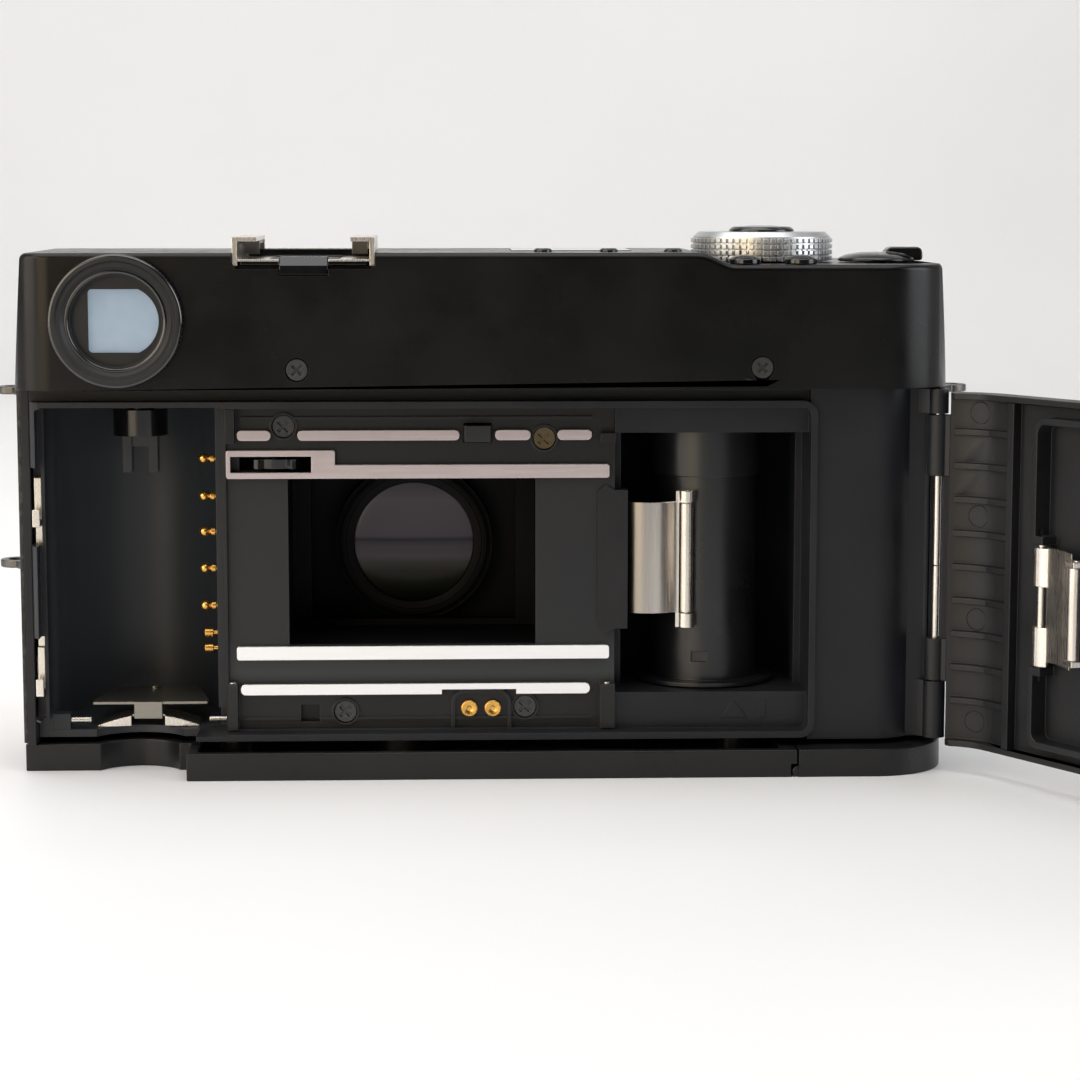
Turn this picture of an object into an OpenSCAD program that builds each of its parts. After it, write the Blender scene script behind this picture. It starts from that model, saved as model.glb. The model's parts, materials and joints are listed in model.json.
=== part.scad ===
// Compact 35 mm film camera with its back door open.
// X runs along the body, +X is the cassette end. Y is depth, the lens faces -Y. Z is up.
// The origin is the mouth of the tripod socket, straight below the lens axis.

/* [Body] */
// X of the end face beside the film cassette
cassette_end_x = 56.4; // [56.3:0.1:57]
// X of the end face beside the door hinge
grip_end_x = -77.7; // [-79:0.1:-77.6]
// Y of the closed back
back_y = 17; // [16.9:0.1:17.3]
// Y of the front face beside the lens
front_y = -17; // [-18:0.1:-16.9]
// Y of the front of the grip bulge
grip_y = -24.5; // [-26:0.1:-24.4]
// Height of the main top deck
deck_z = 75.3; // [75.2:0.1:77]
// Height of the lower top deck at the dial
low_deck_z = 73.6; // [73.4:0.1:73.8]
// Height where the top cover begins
cover_z = 56; // [56:0.1:56.4]
// Thickness of the bottom plate
base_h = 4; // [3.8:0.1:4]

/* [Film path] */
// Distance of the film plane behind the tripod axis
film_y = 11; // [10.9:0.1:11.1]
// Height of the lens axis and of the middle of the film gate
axis_z = 30.7; // [30.5:0.1:30.9]
// Width of the film gate
gate_w = 35.7; // [35:0.1:36.2]
// Height of the film gate
gate_h = 24.4; // [24:0.1:24.6]
// Radius of the take-up spool
spool_r = 7.7; // [7.4:0.1:7.8]

/* [Lens] */
// Radius of the filter thread
filter_r = 23; // [22.8:0.1:23.2]
// Y of the front of the lens with its hood pushed in
lens_front_y = -47.5; // [-49:0.1:-47]

/* [Door] */
// Angle of the door from closed, in degrees
door_open = 121; // [90:1:125]
// Wall of the door
door_wall = 1.8; // [1.6:0.1:1.9]

/* [Controls] */
// Radius of the knurled dial
dial_r = 10.4; // [10.2:0.1:10.4]
// Radius of the shutter button
button_r = 4.78; // [4.5:0.02:4.8]

/* [Hidden] */

black = [0.12, 0.12, 0.13];
dark = [0.2, 0.2, 0.22];
nickel = [0.78, 0.76, 0.72];
gold = [0.85, 0.65, 0.25];

fine = 96;
run = 0.06;            // radial clearance of a turning shaft
wall = 1.3;            // wall of the top cover
hinge_corner_r = 11;   // plan radius of the corner under the hinge
back_corner_r = 6;     // plan radius of the other back corner
grip_x = -55;          // where the grip bulge ends
grip_r = 9;            // outer front corner of the grip
grip_side_r = 4.4;     // inner front corner of the grip
grip_fillet = 3;

covering_t = 0.6;
skin_t = 1.2;
chassis_in = 1.9;      // how far the chassis lies inside the plan outline

corner_x = grip_end_x + hinge_corner_r;
corner_y = back_y - hinge_corner_r;
hinge_x = -75.9;
hinge_y = 12;
hinge_pin_r = 0.5;
knuckle_r = 1.5;
door_end_angle = 48;   // where the door's curved end stops, from the flat

door_z0 = 4.1;
door_z1 = 55.3;
ridge_z0 = 5.2;
ridge_z1 = 54.2;
ridge_x0 = -58.2;
ridge_x1 = 54.4;
ridge_w = 1;
ridge_top = 14.2;
wrap_y = 13.2;         // level of the wall outside the ridge, at the hinge end

gate_x = gate_w / 2;
gate_z0 = axis_z - gate_h / 2;
gate_z1 = axis_z + gate_h / 2;
plate_x0 = -29.3;
plate_x1 = 26.6;
plate_z0 = 6.4;
plate_z1 = 53;
plate_y0 = 8.8;
plate_y = 10.2;
film_half = 17.5;      // half the width of the film

cassette_x = 40;
cassette_y = -1.2;
cassette_r = 12.55;
chamber_x0 = 27;
chamber_x1 = 52.5;
contact_wall_x = 28.4;  // wall that the code contacts come out of
spool_x = -43.4;
spool_y = -1.4;
chamber_r = 12.8;

sprocket_x = 19.6;
sprocket_y = 6.5;
sprocket_z0 = 44.3;
sprocket_z1 = 45.7;
sprocket_top_z = 48.8; // end of the sprocket's shaft

battery_x = -66.5;
battery_y0 = -13.4;
battery_y1 = 3.6;
battery_r = 8.4;
bay_r = 8.7;
cell_cover_x = -55.5;  // seam between the bottom plate and the battery cover

eye_x = 41.2;
eye_z = 65.8;
shoe_x = 14.95;
shoe_w = 20;
lip_x = 6.55;          // half the opening between the shoe's lips
shoe_y0 = -3;
shoe_y1 = 16.2;
shoe_floor_z = 74.4;

dial_x = -51.6;
dial_y = -2;
lever_x = -67.7;
lever_y = 3;
deck_button_y = 10.5;
select_x = -18.9;
timer_x = -28.3;
mode_x = -37.5;
down_x = -47.5;
up_x = -55.5;
edge_button_y = 13.6;
edge_button_r = 2.3;

roller_x = -40;
roller_y = 7.1;
leaf_z0 = 22.8;
leaf_z1 = 39.1;
leaf_pivot_x = -30.4;
leaf_pivot_y = 8.2;

// ---- shared shapes ----

// Waste outside a rounded corner at (x, y); dx and dy point into the shape
module corner_waste(x, y, dx, dy, r) {
  if (r > 0)
    translate([x, y]) mirror([dx < 0 ? 1 : 0, 0]) mirror([0, dy < 0 ? 1 : 0])
      difference() {
        translate([-1, -1]) square(r + 1);
        translate([r, r]) circle(r, $fn = fine);
      }
}

// Rectangle with corner radii in the order (x0,y0), (x1,y0), (x1,y1), (x0,y1)
module round_rect(x0, x1, y0, y1, r) {
  difference() {
    translate([x0, y0]) square([x1 - x0, y1 - y0]);
    corner_waste(x0, y0, 1, 1, r[0]);
    corner_waste(x1, y0, -1, 1, r[1]);
    corner_waste(x1, y1, -1, -1, r[2]);
    corner_waste(x0, y1, 1, -1, r[3]);
  }
}

// Plan outline of the body, moved inwards by i
module body_plan(i) {
  round_rect(grip_end_x + i, cassette_end_x - i, front_y + i, back_y - i,
             [0, back_corner_r - i, back_corner_r - i, hinge_corner_r - i]);
  round_rect(grip_end_x + i, grip_x - i, grip_y + i, 0, [grip_r - i, grip_side_r - i, 0, 0]);
  f = grip_fillet + i;
  difference() {
    translate([grip_x - i, front_y + i - f]) square(f);
    translate([grip_x - i + f, front_y + i - f]) circle(f, $fn = fine);
  }
}

module slab(z0, z1) { translate([0, 0, z0]) linear_extrude(z1 - z0) children(); }

// Extrudes an X-Z outline from y0 to y1
module across(y0, y1) { translate([0, y1, 0]) rotate([90, 0, 0]) linear_extrude(y1 - y0) children(); }

// Extrudes a Y-Z outline from x0 to x1
module along(x0, x1) { translate([x0, 0, 0]) rotate([90, 0, 90]) linear_extrude(x1 - x0) children(); }

module box(x0, x1, y0, y1, z0, z1) { translate([x0, y0, z0]) cube([x1 - x0, y1 - y0, z1 - z0]); }

module post(x, y, z0, z1, r) { translate([x, y, z0]) cylinder(h = z1 - z0, r = r, $fn = fine); }

// Round bar along Y
module rod_y(x, z, y0, y1, r) { translate([x, y1, z]) rotate([90, 0, 0]) cylinder(h = y1 - y0, r = r, $fn = fine); }

// Round bar along X
module rod_x(y, z, x0, x1, r) { translate([x0, y, z]) rotate([0, 90, 0]) cylinder(h = x1 - x0, r = r, $fn = fine); }

module tube_y(x, z, y0, y1, r_out, r_in) {
  difference() {
    rod_y(x, z, y0, y1, r_out);
    rod_y(x, z, y0 - 1, y1 + 1, r_in);
  }
}

// Everything on the side of the corner's ray at angle a that the door does not reach
module past_corner_ray(a) {
  far = 60;
  polygon([
    [corner_x, corner_y],
    [corner_x - far * sin(a), corner_y + far * cos(a)],
    [corner_x - far, corner_y + far * cos(a)],
    [corner_x - far, corner_y - far],
    [corner_x, corner_y - far]
  ]);
}

// Cross-headed screw lying along Y, its head facing +Y at y
module screw_y(x, z, y, r, shank_r, length) {
  slot_w = 0.5;
  slot_l = r * 1.3;
  difference() {
    union() {
      rod_y(x, z, y - 0.8, y, r);
      rod_y(x, z, y - length, y - 0.8, shank_r);
    }
    for (a = [45, 135]) translate([x, y, z]) rotate([0, a, 0])
      cube([slot_l, 0.9, slot_w], center = true);
  }
}

// ---- chassis and film path ----

module chassis_plan() {
  intersection() {
    body_plan(chassis_in);
    translate([-100, -40]) square([200, 40 + film_y]);
  }
  inner_r = hinge_corner_r - (back_y - wrap_y);
  round_rect(corner_x - inner_r, ridge_x0 + ridge_w, 0, wrap_y, [0, 0, 0, inner_r]);
}

module ridge_outline(i) {
  round_rect(ridge_x0 + i, ridge_x1 - i, ridge_z0 + i, ridge_z1 - i,
             [2.2 - i, 0.5, 0.5, 2.2 - i]);
}

// Ridge around the film chamber, trimmed where the closed door curves round its end
module light_ridge() {
  intersection() {
    across(film_y - 0.5, ridge_top) difference() {
      ridge_outline(0);
      ridge_outline(ridge_w);
    }
    slab(0, cover_z) body_plan(door_wall + 0.15);
  }
}

// The two fixed knuckles of the door hinge, with their brackets
module fixed_knuckles() {
  for (z = [[4.9, 13.2], [52.2, 55.7]]) {
    slab(z[0], z[1]) difference() {
      union() {
        translate([hinge_x, hinge_y]) circle(z[0] < 10 ? 1.6 : 1.4, $fn = fine);
        polygon([[hinge_x - 1, hinge_y - 0.6], [hinge_x + 0.6, hinge_y + 0.9],
                 [hinge_x + 3.2, hinge_y - 1.4], [hinge_x + 1.7, hinge_y - 3]]);
      }
      translate([hinge_x, hinge_y]) circle(hinge_pin_r, $fn = fine);
    }
  }
}

module cassette_space() {
  post(cassette_x, cassette_y, 5.9, 53.4, cassette_r);
  box(chamber_x0, chamber_x1, 7.6, 20, 5.9, 53.4);
  box(chamber_x0, chamber_x1, 4, 8, 5.9, 9);
  box(contact_wall_x, chamber_x1, -1.2, 7.7, 5.9, 53.4);
  post(cassette_x, cassette_y, 53, 58, 2 + run);
}

module take_up_space() {
  z0 = 11.5;
  z1 = 49.4;
  post(spool_x, spool_y, z0, z1, chamber_r);
  post(spool_x, spool_y, 9.5, 50.6, spool_r + 1);
  box(ridge_x0 + ridge_w, plate_x0, 4, 20, z0, z1);
  box(spool_x - chamber_r, spool_x + chamber_r, spool_y, 6, z0, z1);
}

module battery_space(r, z0, z1) {
  slab(z0, z1) {
    translate([battery_x, battery_y0]) circle(r, $fn = fine);
    translate([battery_x, battery_y1]) circle(r, $fn = fine);
    translate([battery_x - r, battery_y0]) square([2 * r, battery_y1 - battery_y0]);
  }
}

// Arch and step cut below the cassette so that its end can pass
module cassette_step(gap, z0, z1) {
  slab(z0, z1) {
    translate([32.4 - gap, 9 - gap]) square([40, 20]);
    translate([39.8, 12.1]) circle(6.5 + gap, $fn = fine);
  }
}

module main_chassis() color(dark) {
  difference() {
    union() {
      slab(base_h + 0.8, cover_z - 0.2) chassis_plan();
      light_ridge();
      fixed_knuckles();
    }
    cassette_space();
    take_up_space();
    battery_space(bay_r, base_h, 50.5);
    // pocket behind the film plate and the opening for the light box
    box(plate_x0, plate_x1, plate_y0, 20, plate_z0, plate_z1);
    box(-19.6, 19.6, -40, plate_y0 + 1, axis_z - 13.2, axis_z + 13.2);
    rod_y(0, axis_z, -40, 0, 21.3);
    // sprocket pocket, latch channel, switch pocket and contact pocket
    post(sprocket_x, sprocket_y, 43.9, 46.1, 5.7);
    post(sprocket_x, sprocket_y, 46, sprocket_top_z + 0.3, 1.2 + run);
    box(latch_x - 0.1, 60, 8.6, 10.2, 8, 49.6);
    for (z = latch_windows) box(latch_x - 0.1, 60, 10, 20, z[0], z[1]);
    box(latch_x + 0.7, 60, stem_y - 0.2, 9, stem_z - 0.2, stem_z + 5.6);
    box(-11.9, -7.1, 5.8, 10, 47.8, 51);
    box(-14.4, -5.5, 6.5, 10, 6.8, 11.6);
    for (p = plate_screw_places) rod_y(p[0], p[1], 5, 10, 0.9);
    for (p = base_screw_places) post(p[0], p[1], 4, 7.6, 0.8);
    // pocket and holes of the code contacts
    box(25.3, 27.9, 3.6, 7.4, 15.5, 47);
    for (z = concat(code_contact_z, flat_contact_z)) rod_x(5.5, z, 27, 29.4, contact_r + 0.1);
    // arch below the cassette
    cassette_step(1.2, 0, 8);
    // seat of the tripod bush and slots of the strap lugs
    post(0, 0, 0, 7, 6.2);
    lug_space();
  }
  // block that holds the far end of the saddle's pivot pin
  box(50, chamber_x1 + 0.3, 5.6, 7.7, 5.5, 8.2);
}

latch_x = 53.1;        // inner side of the latch bar
latch_w = 1.1;
latch_windows = [[8.3, 20.2], [33.5, 44.8]];
finger_z = [11.6, 36.2];
stem_y = 0;            // where the latch's stem comes out through the end face
stem_z = 14;

plate_screw_places = [[18.35, 50.4], [-19.1, 48.6], [9.8, 8.8], [-16.3, 9.4]];

module pill(x0, x1, z0, z1) {
  r = (z1 - z0) / 2.2;
  round_rect(x0, x1, z0, z1, [r, r, r, r]);
}

module inner_rails() {
  small = 0.4;
  across(plate_y, film_y) {
    round_rect(-28.5, 25.4, gate_z0 - 2, gate_z0, [small, small, small, small]);
    round_rect(-28.5, 12, gate_z1, gate_z1 + 2, [small, 0, 0, small]);
    difference() {
      round_rect(11, plate_x1, gate_z1, gate_z1 + 4.1, [0, small, small, small]);
      translate([14.4, 43.8]) square([11.6, 2.3]);
    }
  }
}

module outer_rails() {
  across(plate_y, film_y + 0.25) {
    for (s = [[20.2, 25], [-6.9, 16.3], [-17.1, -12], [-25.9, -21]])
      pill(s[0], s[1], 48.4, 49.9);
    difference() {
      pill(-25.7, 24.9, 11.4, 13);
      translate([-15, 11]) square([10.8, 1.1]);
    }
  }
}

// Guide posts at the film's edges
module film_posts() {
  low = axis_z - film_half;
  high = axis_z + film_half;
  box(25.3, 26.6, plate_y, 12.1, plate_z0, low);
  box(25.3, 26.6, plate_y, 12.1, high - 0.1, plate_z1);
  box(-29.3, -27.2, plate_y, 12.1, plate_z0, low - 0.3);
  box(-29.3, -27.2, plate_y, 11.9, high - 0.1, 49.4);
}

module film_plate() color(dark) difference() {
  union() {
    box(plate_x0, plate_x1, plate_y0, plate_y, plate_z0, plate_z1);
    inner_rails();
    outer_rails();
    film_posts();
    box(-26, 24.5, plate_y, 10.6, 51.4, 51.8);
    box(-26, 24.5, plate_y, 10.6, 7.6, 8);
    across(plate_y, 10.9) difference() {
      round_rect(-14.3, -5.6, plate_z0, 12, [0, 0, 2, 2]);
      round_rect(-13.8, -6.1, plate_z0 - 1, 11.5, [0, 0, 1.6, 1.6]);
    }
    for (p = plate_screw_places) tube_y(p[0], p[1], plate_y, 10.6, 2, 1.7);
  }
  box(-gate_x, gate_x, 0, 20, gate_z0, gate_z1);
  box(14.4, 26, 0, 20, 43.8, 46.1);
  box(13.55, 16.25, 0, 20, 7.3, 9.8);
  box(-11.6, -7.4, 0, 20, 48, 50.8);
  for (x = [-8.17, -11.6]) rod_y(x, 9.2, 0, 20, 0.7);
  for (p = plate_screw_places) {
    rod_y(p[0], p[1], plate_y0 + 0.5, 20, 1.7);
    rod_y(p[0], p[1], 0, 20, 0.9);
  }
  post(26, 11.2, 11, 14, 0.5);
  post(-28.2, 11.2, 11, 14, 0.5);
}

module light_box() color(black) difference() {
  union() {
    box(-19.5, 19.5, -10.5, plate_y0, axis_z - 13.1, axis_z + 13.1);
    box(-17, 17, -12, -10, axis_z - 12.9, axis_z + 12.9);
  }
  box(-gate_x - 0.4, gate_x + 0.4, -9.6, 20, gate_z0 - 0.1, gate_z1 + 0.1);
  box(-15.5, 15.5, -20, 0, axis_z - 11.4, axis_z + 11.4);
}

module guide_pins() color(nickel) {
  post(26, 11.2, 11, axis_z - film_half + 0.15, 0.5);
  post(-28.2, 11.2, 11, axis_z - film_half - 0.1, 0.5);
}

module plate_screws() color([0.35, 0.34, 0.33])
  for (p = plate_screw_places) screw_y(p[0], p[1], 10.2, 1.6, 0.9, 4);

module data_contacts() color(gold) {
  for (x = [-8.17, -11.6]) {
    rod_y(x, 9.2, 8.8, 10.6, 0.7);
    rod_y(x, 9.2, 10.3, 10.9, 1.2);
    rod_y(x, 9.2, 7, 9, 0.5);
  }
}

module door_switch() color(black) {
  box(-11.4, -7.6, 7.6, 11.9, 48.2, 50.6);
  box(-11.7, -7.3, 7.0, 8.6, 48, 50.8);
}

teeth = 6;

module sprocket() color(black) translate([sprocket_x, sprocket_y, 0]) {
  slab(sprocket_z0, sprocket_z1) {
    circle(4.4, $fn = fine);
    for (k = [0:teeth - 1]) rotate(k * 360 / teeth + 60)
      polygon([[4, -0.8], [5.45, -0.35], [5.45, 0.35], [4, 0.8]]);
  }
  post(0, 0, sprocket_z1 - 0.1, sprocket_top_z, 1.2);
}

module rewind_fork() color(black) {
  x = cassette_x;
  y = cassette_y;
  post(x, y, 48.3, 52.2, 4);
  post(x, y, 52.1, 55.6, 2);
  box(x - 2.6, x + 2.6, y - 0.9, y + 0.9, 46.6, 48.4);
  for (s = [-1, 1]) box(x + s * 1.9 - 0.7, x + s * 1.9 + 0.7, y - 1.5, y + 1.5, 42.8, 48.4);
}

module take_up_spool() color(black) difference() {
  union() {
    post(spool_x, spool_y, 9.8, 42.6, spool_r);
    post(spool_x, spool_y, 11.7, 12.3, 10.3);
    post(spool_x, spool_y, 42.5, 50.3, spool_r + 0.55);
  }
  post(spool_x, spool_y, 9, 48.6, 6.4);
  post(spool_x, spool_y, 45, 60, 1.5);
  for (k = [0:2]) translate([spool_x, spool_y, 15.1]) rotate(k * 120 + 80)
    translate([spool_r - 0.5, -1.2, 0]) cube([3, 2.4, 1.5]);
}

module winding_motor() color("silver") {
  post(spool_x, spool_y, 11, 44.5, 6);
  post(spool_x, spool_y, 44.4, 50.4, 1.4);
  box(spool_x - 3, spool_x + 3, spool_y - 1.5, spool_y + 1.5, 9.5, 11.1);
}

// Black flap that bends the film towards the spool
module guide_flap() color(black) {
  across(plate_y, 10.7) polygon([
    [-26.8, 22.4], [-26.8, 40.9], [-28, 41.9], [-29.2, 41.1],
    [-31.2, 41.1], [-31.2, 20.8], [-29.2, 20.8], [-28, 20]
  ]);
  // ears and pin that carry the film leaf
  for (z = [20.8, 40.7]) box(-31.2, -29.6, 7.8, 10.3, z, z + 0.4);
  post(leaf_pivot_x, leaf_pivot_y, 20.9, 41, 0.35);
}

// Curved spring leaf, from its pivot to the roller
module leaf_outline(thick) {
  steps = 10;
  start = [leaf_pivot_x - 0.5, leaf_pivot_y];
  finish = [roller_x + 1.3, roller_y + 0.35];
  bow = 1.3;
  path = [for (k = [0:steps]) let (t = k / steps)
    [start[0] + (finish[0] - start[0]) * t,
     start[1] + (finish[1] - start[1]) * t + bow * sin(180 * t)]];
  polygon(concat(path, [for (k = [steps:-1:0]) path[k] + [0, thick]]));
}

module film_leaf() color(nickel) {
  slab(leaf_z0, leaf_z1) leaf_outline(0.25);
  difference() {
    post(leaf_pivot_x, leaf_pivot_y, 21.6, 40.3, 0.75);
    post(leaf_pivot_x, leaf_pivot_y, 20, 42, 0.35 + run);
  }
  for (z = [[38.9, 40.6], [20.5, 22.6]]) difference() {
    union() {
      post(roller_x, roller_y, z[0], z[1], 1.3);
      box(roller_x, roller_x + 1.6, roller_y - 0.1, roller_y + 0.6, z[0], z[1]);
    }
    post(roller_x, roller_y, z[0] - 1, z[1] + 1, 0.45);
  }
  box(roller_x + 1.1, roller_x + 1.6, roller_y + 0.2, roller_y + 0.6, 20.6, 40.5);
}

module leaf_roller() color(nickel) {
  post(roller_x, roller_y, 22.75, 38.75, 1);
  post(roller_x, roller_y, 20.7, 40.4, 0.39);
}

code_contact_z = [45.4, 39.9, 34.7, 29.3, 23.8];
flat_contact_z = [19.8, 17.5];

contact_x = 30.25;     // middle of the balls
contact_r = 0.65;

module code_contacts() color(gold) {
  for (z = code_contact_z) {
    rod_x(5.5, z, 27, contact_x, 0.35);
    rod_x(5.5, z, 28.7, 29.3, contact_r);
    translate([contact_x, 5.5, z]) sphere(r = 0.75, $fn = 48);
  }
  for (z = flat_contact_z) {
    rod_x(5.5, z, 27, 29.3, 0.35);
    rod_x(5.5, z, 29.2, 30.4, contact_r);
  }
  box(26.3, 27.1, 4, 7, 16.2, 46.6);
}

tab_x0 = 36.8;
tab_x1 = 40.9;

module cassette_saddle() color(dark) {
  slab(9.2, 9.6) polygon([
    [34, -7.4], [43.2, -7.4], [44.2, -6.9], [44.9, -5.6], [46.9, 3.6], [46.9, 5.9],
    [30.2, 5.9], [30.2, 3.6], [32.2, -5.6], [32.9, -6.9]
  ]);
  box(tab_x0, tab_x1, 5.6, 6.1, 7.1, 9.6);
  post(39, -5.6, 9.4, 10, 0.8);
}

// Bowed strip under the saddle, its back edge folded down, and the two pivot pins
module cassette_spring() color(nickel) {
  steps = 12;
  bow = [for (k = [0:steps]) let (t = k / steps) [31.4 + 14.8 * t, 5.9 + 1.6 * sin(180 * t)]];
  fold = [for (k = [0:steps]) let (t = k / steps) [31.4 + 14.8 * t, 5.9 + 0.2 * sin(180 * t)]];
  top = [for (k = [steps:-1:0]) bow[k] + [0, 0.3]];
  difference() {
    union() {
      across(0.5, 6.3) polygon(concat(bow, top));
      across(5.7, 6.3) polygon(concat(fold, top));
    }
    box(tab_x0 - 0.4, tab_x1 + 0.4, 5.2, 7, 5, 9);
  }
  for (x = [[chamber_x0, 29.8], [47, 50]]) rod_x(6.9, 7.2, x[0], x[1], 0.45);
}

// ---- covers ----

// Slot in the end face that the latch's stem slides in
module latch_slot() { box(50, 60, stem_y - 0.2, stem_y + 1.6, stem_z - 0.2, stem_z + 5.6); }

module front_cover() color(black) difference() {
  slab(base_h + 0.1, cover_z - 0.1) difference() {
    body_plan(covering_t);
    body_plan(covering_t + skin_t);
    translate([cassette_end_x - 20, 10.5]) square([40, 20]);
    translate([-60, front_y + 5]) square([110, 40]);
    translate([-100, 9.3]) square([60, 20]);
    translate([-60, 0]) square([10, 40]);
  }
  rod_y(0, axis_z, -40, 0, 22.4);
  latch_slot();
  lug_space();
}

module front_covering() color([0.1, 0.1, 0.1]) difference() {
  slab(base_h + 0.4, cover_z - 0.4) difference() {
    body_plan(0);
    body_plan(covering_t);
    translate([cassette_end_x - 20, 10.2]) square([40, 20]);
    translate([-60, front_y + 5]) square([110, 40]);
    translate([-100, 9.1]) square([60, 20]);
    translate([-60, 0]) square([10, 40]);
  }
  rod_y(0, axis_z, -40, 0, 26.6);
  latch_slot();
  lug_space();
  // the middle strap lug comes out through the covering
  box(55, 60, lug_y - lug_w / 2 - 0.2, lug_y + lug_w / 2 + 0.2, lug_mid_z - 0.2, lug_mid_z + lug_t + 0.2);
}

// Side profile of the top cover in X and Z: drafted ends and an S-shaped step
function step_z(t) = deck_z + (low_deck_z - deck_z) * (1 - cos(180 * t)) / 2;

module cover_profile(i) {
  inset = 0.2;
  draft = 1.5;
  steps = 14;
  s0 = -40.4;
  s1 = -46.1;
  polygon(concat(
    [[cassette_end_x - inset - i, cover_z - 1], [cassette_end_x - inset - draft - i, deck_z - i]],
    [for (k = [0:steps]) [s0 + (s1 - s0) * k / steps, step_z(k / steps) - i]],
    [[grip_end_x + inset + draft + i, low_deck_z - i], [grip_end_x + inset + i, cover_z - 1]]
  ));
}

module cover_body(i, z0) {
  intersection() {
    slab(z0, 90) body_plan(i);
    across(-60, 60) cover_profile(i);
  }
}

module deck_hole(x, y, r) { post(x, y, 68, 80, r); }

module top_cover() color(black) difference() {
  union() {
    difference() {
      cover_body(0, cover_z);
      cover_body(wall, cover_z - 1);
    }
    // bosses under the shoe, the dial and the lever
    box(shoe_x - 11, shoe_x + 11, -5, 15.8, 72, 74.2);
    post(dial_x, dial_y, 70, 76.4, 6);
    post(lever_x, lever_y, 70, 73.4, 2.6);
  }
  // eyepiece and front windows
  rod_y(eye_x, eye_z, 10, 20, 8.2);
  across(-20, -14) round_rect(33.2, 48, 60.6, 71, [1, 1, 1, 1]);
  across(-20, -14) round_rect(-14, 14, 61.4, 70.4, [1, 1, 1, 1]);
  rod_y(-24, 65.8, -20, -10, 2.2);
  // pocket and notch of the accessory shoe
  box(shoe_x - shoe_w / 2 - 0.1, shoe_x + shoe_w / 2 + 0.1, shoe_y0 - 0.1, 20, 73.45, 80);
  box(shoe_x - shoe_w / 2 + 0.4, shoe_x + shoe_w / 2 - 0.4, 15.4, 20, 73.05, 80);
  box(shoe_x - 3.5, shoe_x + 3.5, 13.6, 20, 72.1, 80);
  box(shoe_x - 5.1, shoe_x + 5.1, shoe_y0 + 0.7, 14, 71, 80);
  // display, deck buttons and the two rear-edge buttons
  box(-32, -14.5, -10, 5, 74.3, 80);
  for (x = [select_x, timer_x, mode_x]) deck_hole(x, deck_button_y, 1.36);
  for (x = [down_x, up_x]) {
    deck_hole(x, edge_button_y, 1.06);
    post(x, edge_button_y, 73, 80, edge_button_r + 0.15);
  }
  // dial recess, shutter button stem and lever shaft
  difference() {
    post(dial_x, dial_y, low_deck_z, 80, dial_r + 0.4);
    post(dial_x, dial_y, 70, 76.4, 6);
  }
  deck_hole(dial_x, dial_y, 2 + run);
  deck_hole(lever_x, lever_y, 1.5 + run);
  for (p = back_screw_places) {
    rod_y(p[0], p[1], back_y - 0.95, back_y + 1, 1.7);
    rod_y(p[0], p[1], 10, back_y + 1, 0.7);
  }
  // notch that the lens flange sits in
  rod_y(0, axis_z, front_y - 3, front_y + covering_t + 0.05, flange_r + 0.1);
  lug_space();
}

back_screw_places = [[16, 58.9], [-49.8, 59.1]];
base_screw_places = [[51, -10.5], [-48, -10], [25.6, 5], [-48, 5]];

module case_screws() color([0.15, 0.15, 0.15]) {
  for (p = back_screw_places) screw_y(p[0], p[1], back_y - 0.15, 1.5, 0.7, 3);
  for (p = base_screw_places) difference() {
    union() {
      post(p[0], p[1], 0.2, 1.4, 1.6);
      post(p[0], p[1], 1.3, 7.4, 0.8);
    }
    for (a = [0, 90]) translate([p[0], p[1], 0.2]) rotate([0, 0, a])
      cube([2.1, 0.5, 0.9], center = true);
  }
}

module bottom_plate() color(black) difference() {
  slab(0, base_h) difference() {
    body_plan(0);
    translate([-100, -60]) square([100 + cell_cover_x + 0.1, 120]);
  }
  difference() {
    slab(1.4, base_h + 1) difference() {
      body_plan(1.5);
      translate([-100, -60]) square([100 + cell_cover_x + 2.5, 120]);
      translate([30.8, 7.4]) square([40, 20]);
      translate([39.8, 12.1]) circle(8.1, $fn = fine);
    }
    post(0, 0, 0, base_h, 6);
    for (p = base_screw_places) post(p[0], p[1], 0, base_h, 3);
  }
  cassette_step(0, -1, 8);
  post(0, 0, -1, 8, 4.5);
  for (p = base_screw_places) {
    post(p[0], p[1], -1, 1.4, 1.7);
    post(p[0], p[1], -1, 8, 0.8);
  }
  // groove that the battery cover's knuckle turns in
  box(cell_cover_x - 1, cell_cover_x + 0.95, -60, 60, -1, 1.9);
}

module battery_cover() color(black) {
  slab(1, base_h) intersection() {
    body_plan(0);
    translate([-100, -60]) square([100 + cell_cover_x - 0.1, 120]);
  }
  slab(0, 1.1) intersection() {
    body_plan(0);
    translate([-100, -60]) square([100 + cell_cover_x, 120]);
  }
  intersection() {
    translate([cell_cover_x, 16.9, 0.8]) rotate([90, 0, 0]) cylinder(h = 33.8, r = 0.8, $fn = fine);
    box(-60, -50, -40, 40, 0, 5);
  }
}

module tripod_bush() color(nickel) difference() {
  union() {
    post(0, 0, 0, base_h, 4.5);
    post(0, 0, base_h, 6.8, 6);
  }
  post(0, 0, -1, socket_depth, 3.175);
}

socket_depth = 6.2;

lug_w = 12;
lug_y = -3;
lug_t = 1.1;
lug_nose_r = 2.6;
lug_top_z = 54.3;
lug_mid_z = 28.6;
lug_out = 4.85;        // how far a lug stands out of the end face

// Slots where the two upper lugs pass between the chassis and the top cover
module lug_space() {
  for (s = [[cassette_end_x - 3.8, cassette_end_x + 3.7], [grip_end_x - 2.3, grip_end_x + 3.1]])
    box(s[0], s[1], lug_y - lug_w / 2 - 0.1, lug_y + lug_w / 2 + 0.1, lug_top_z - 0.1, lug_top_z + lug_t + 0.1);
}

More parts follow.
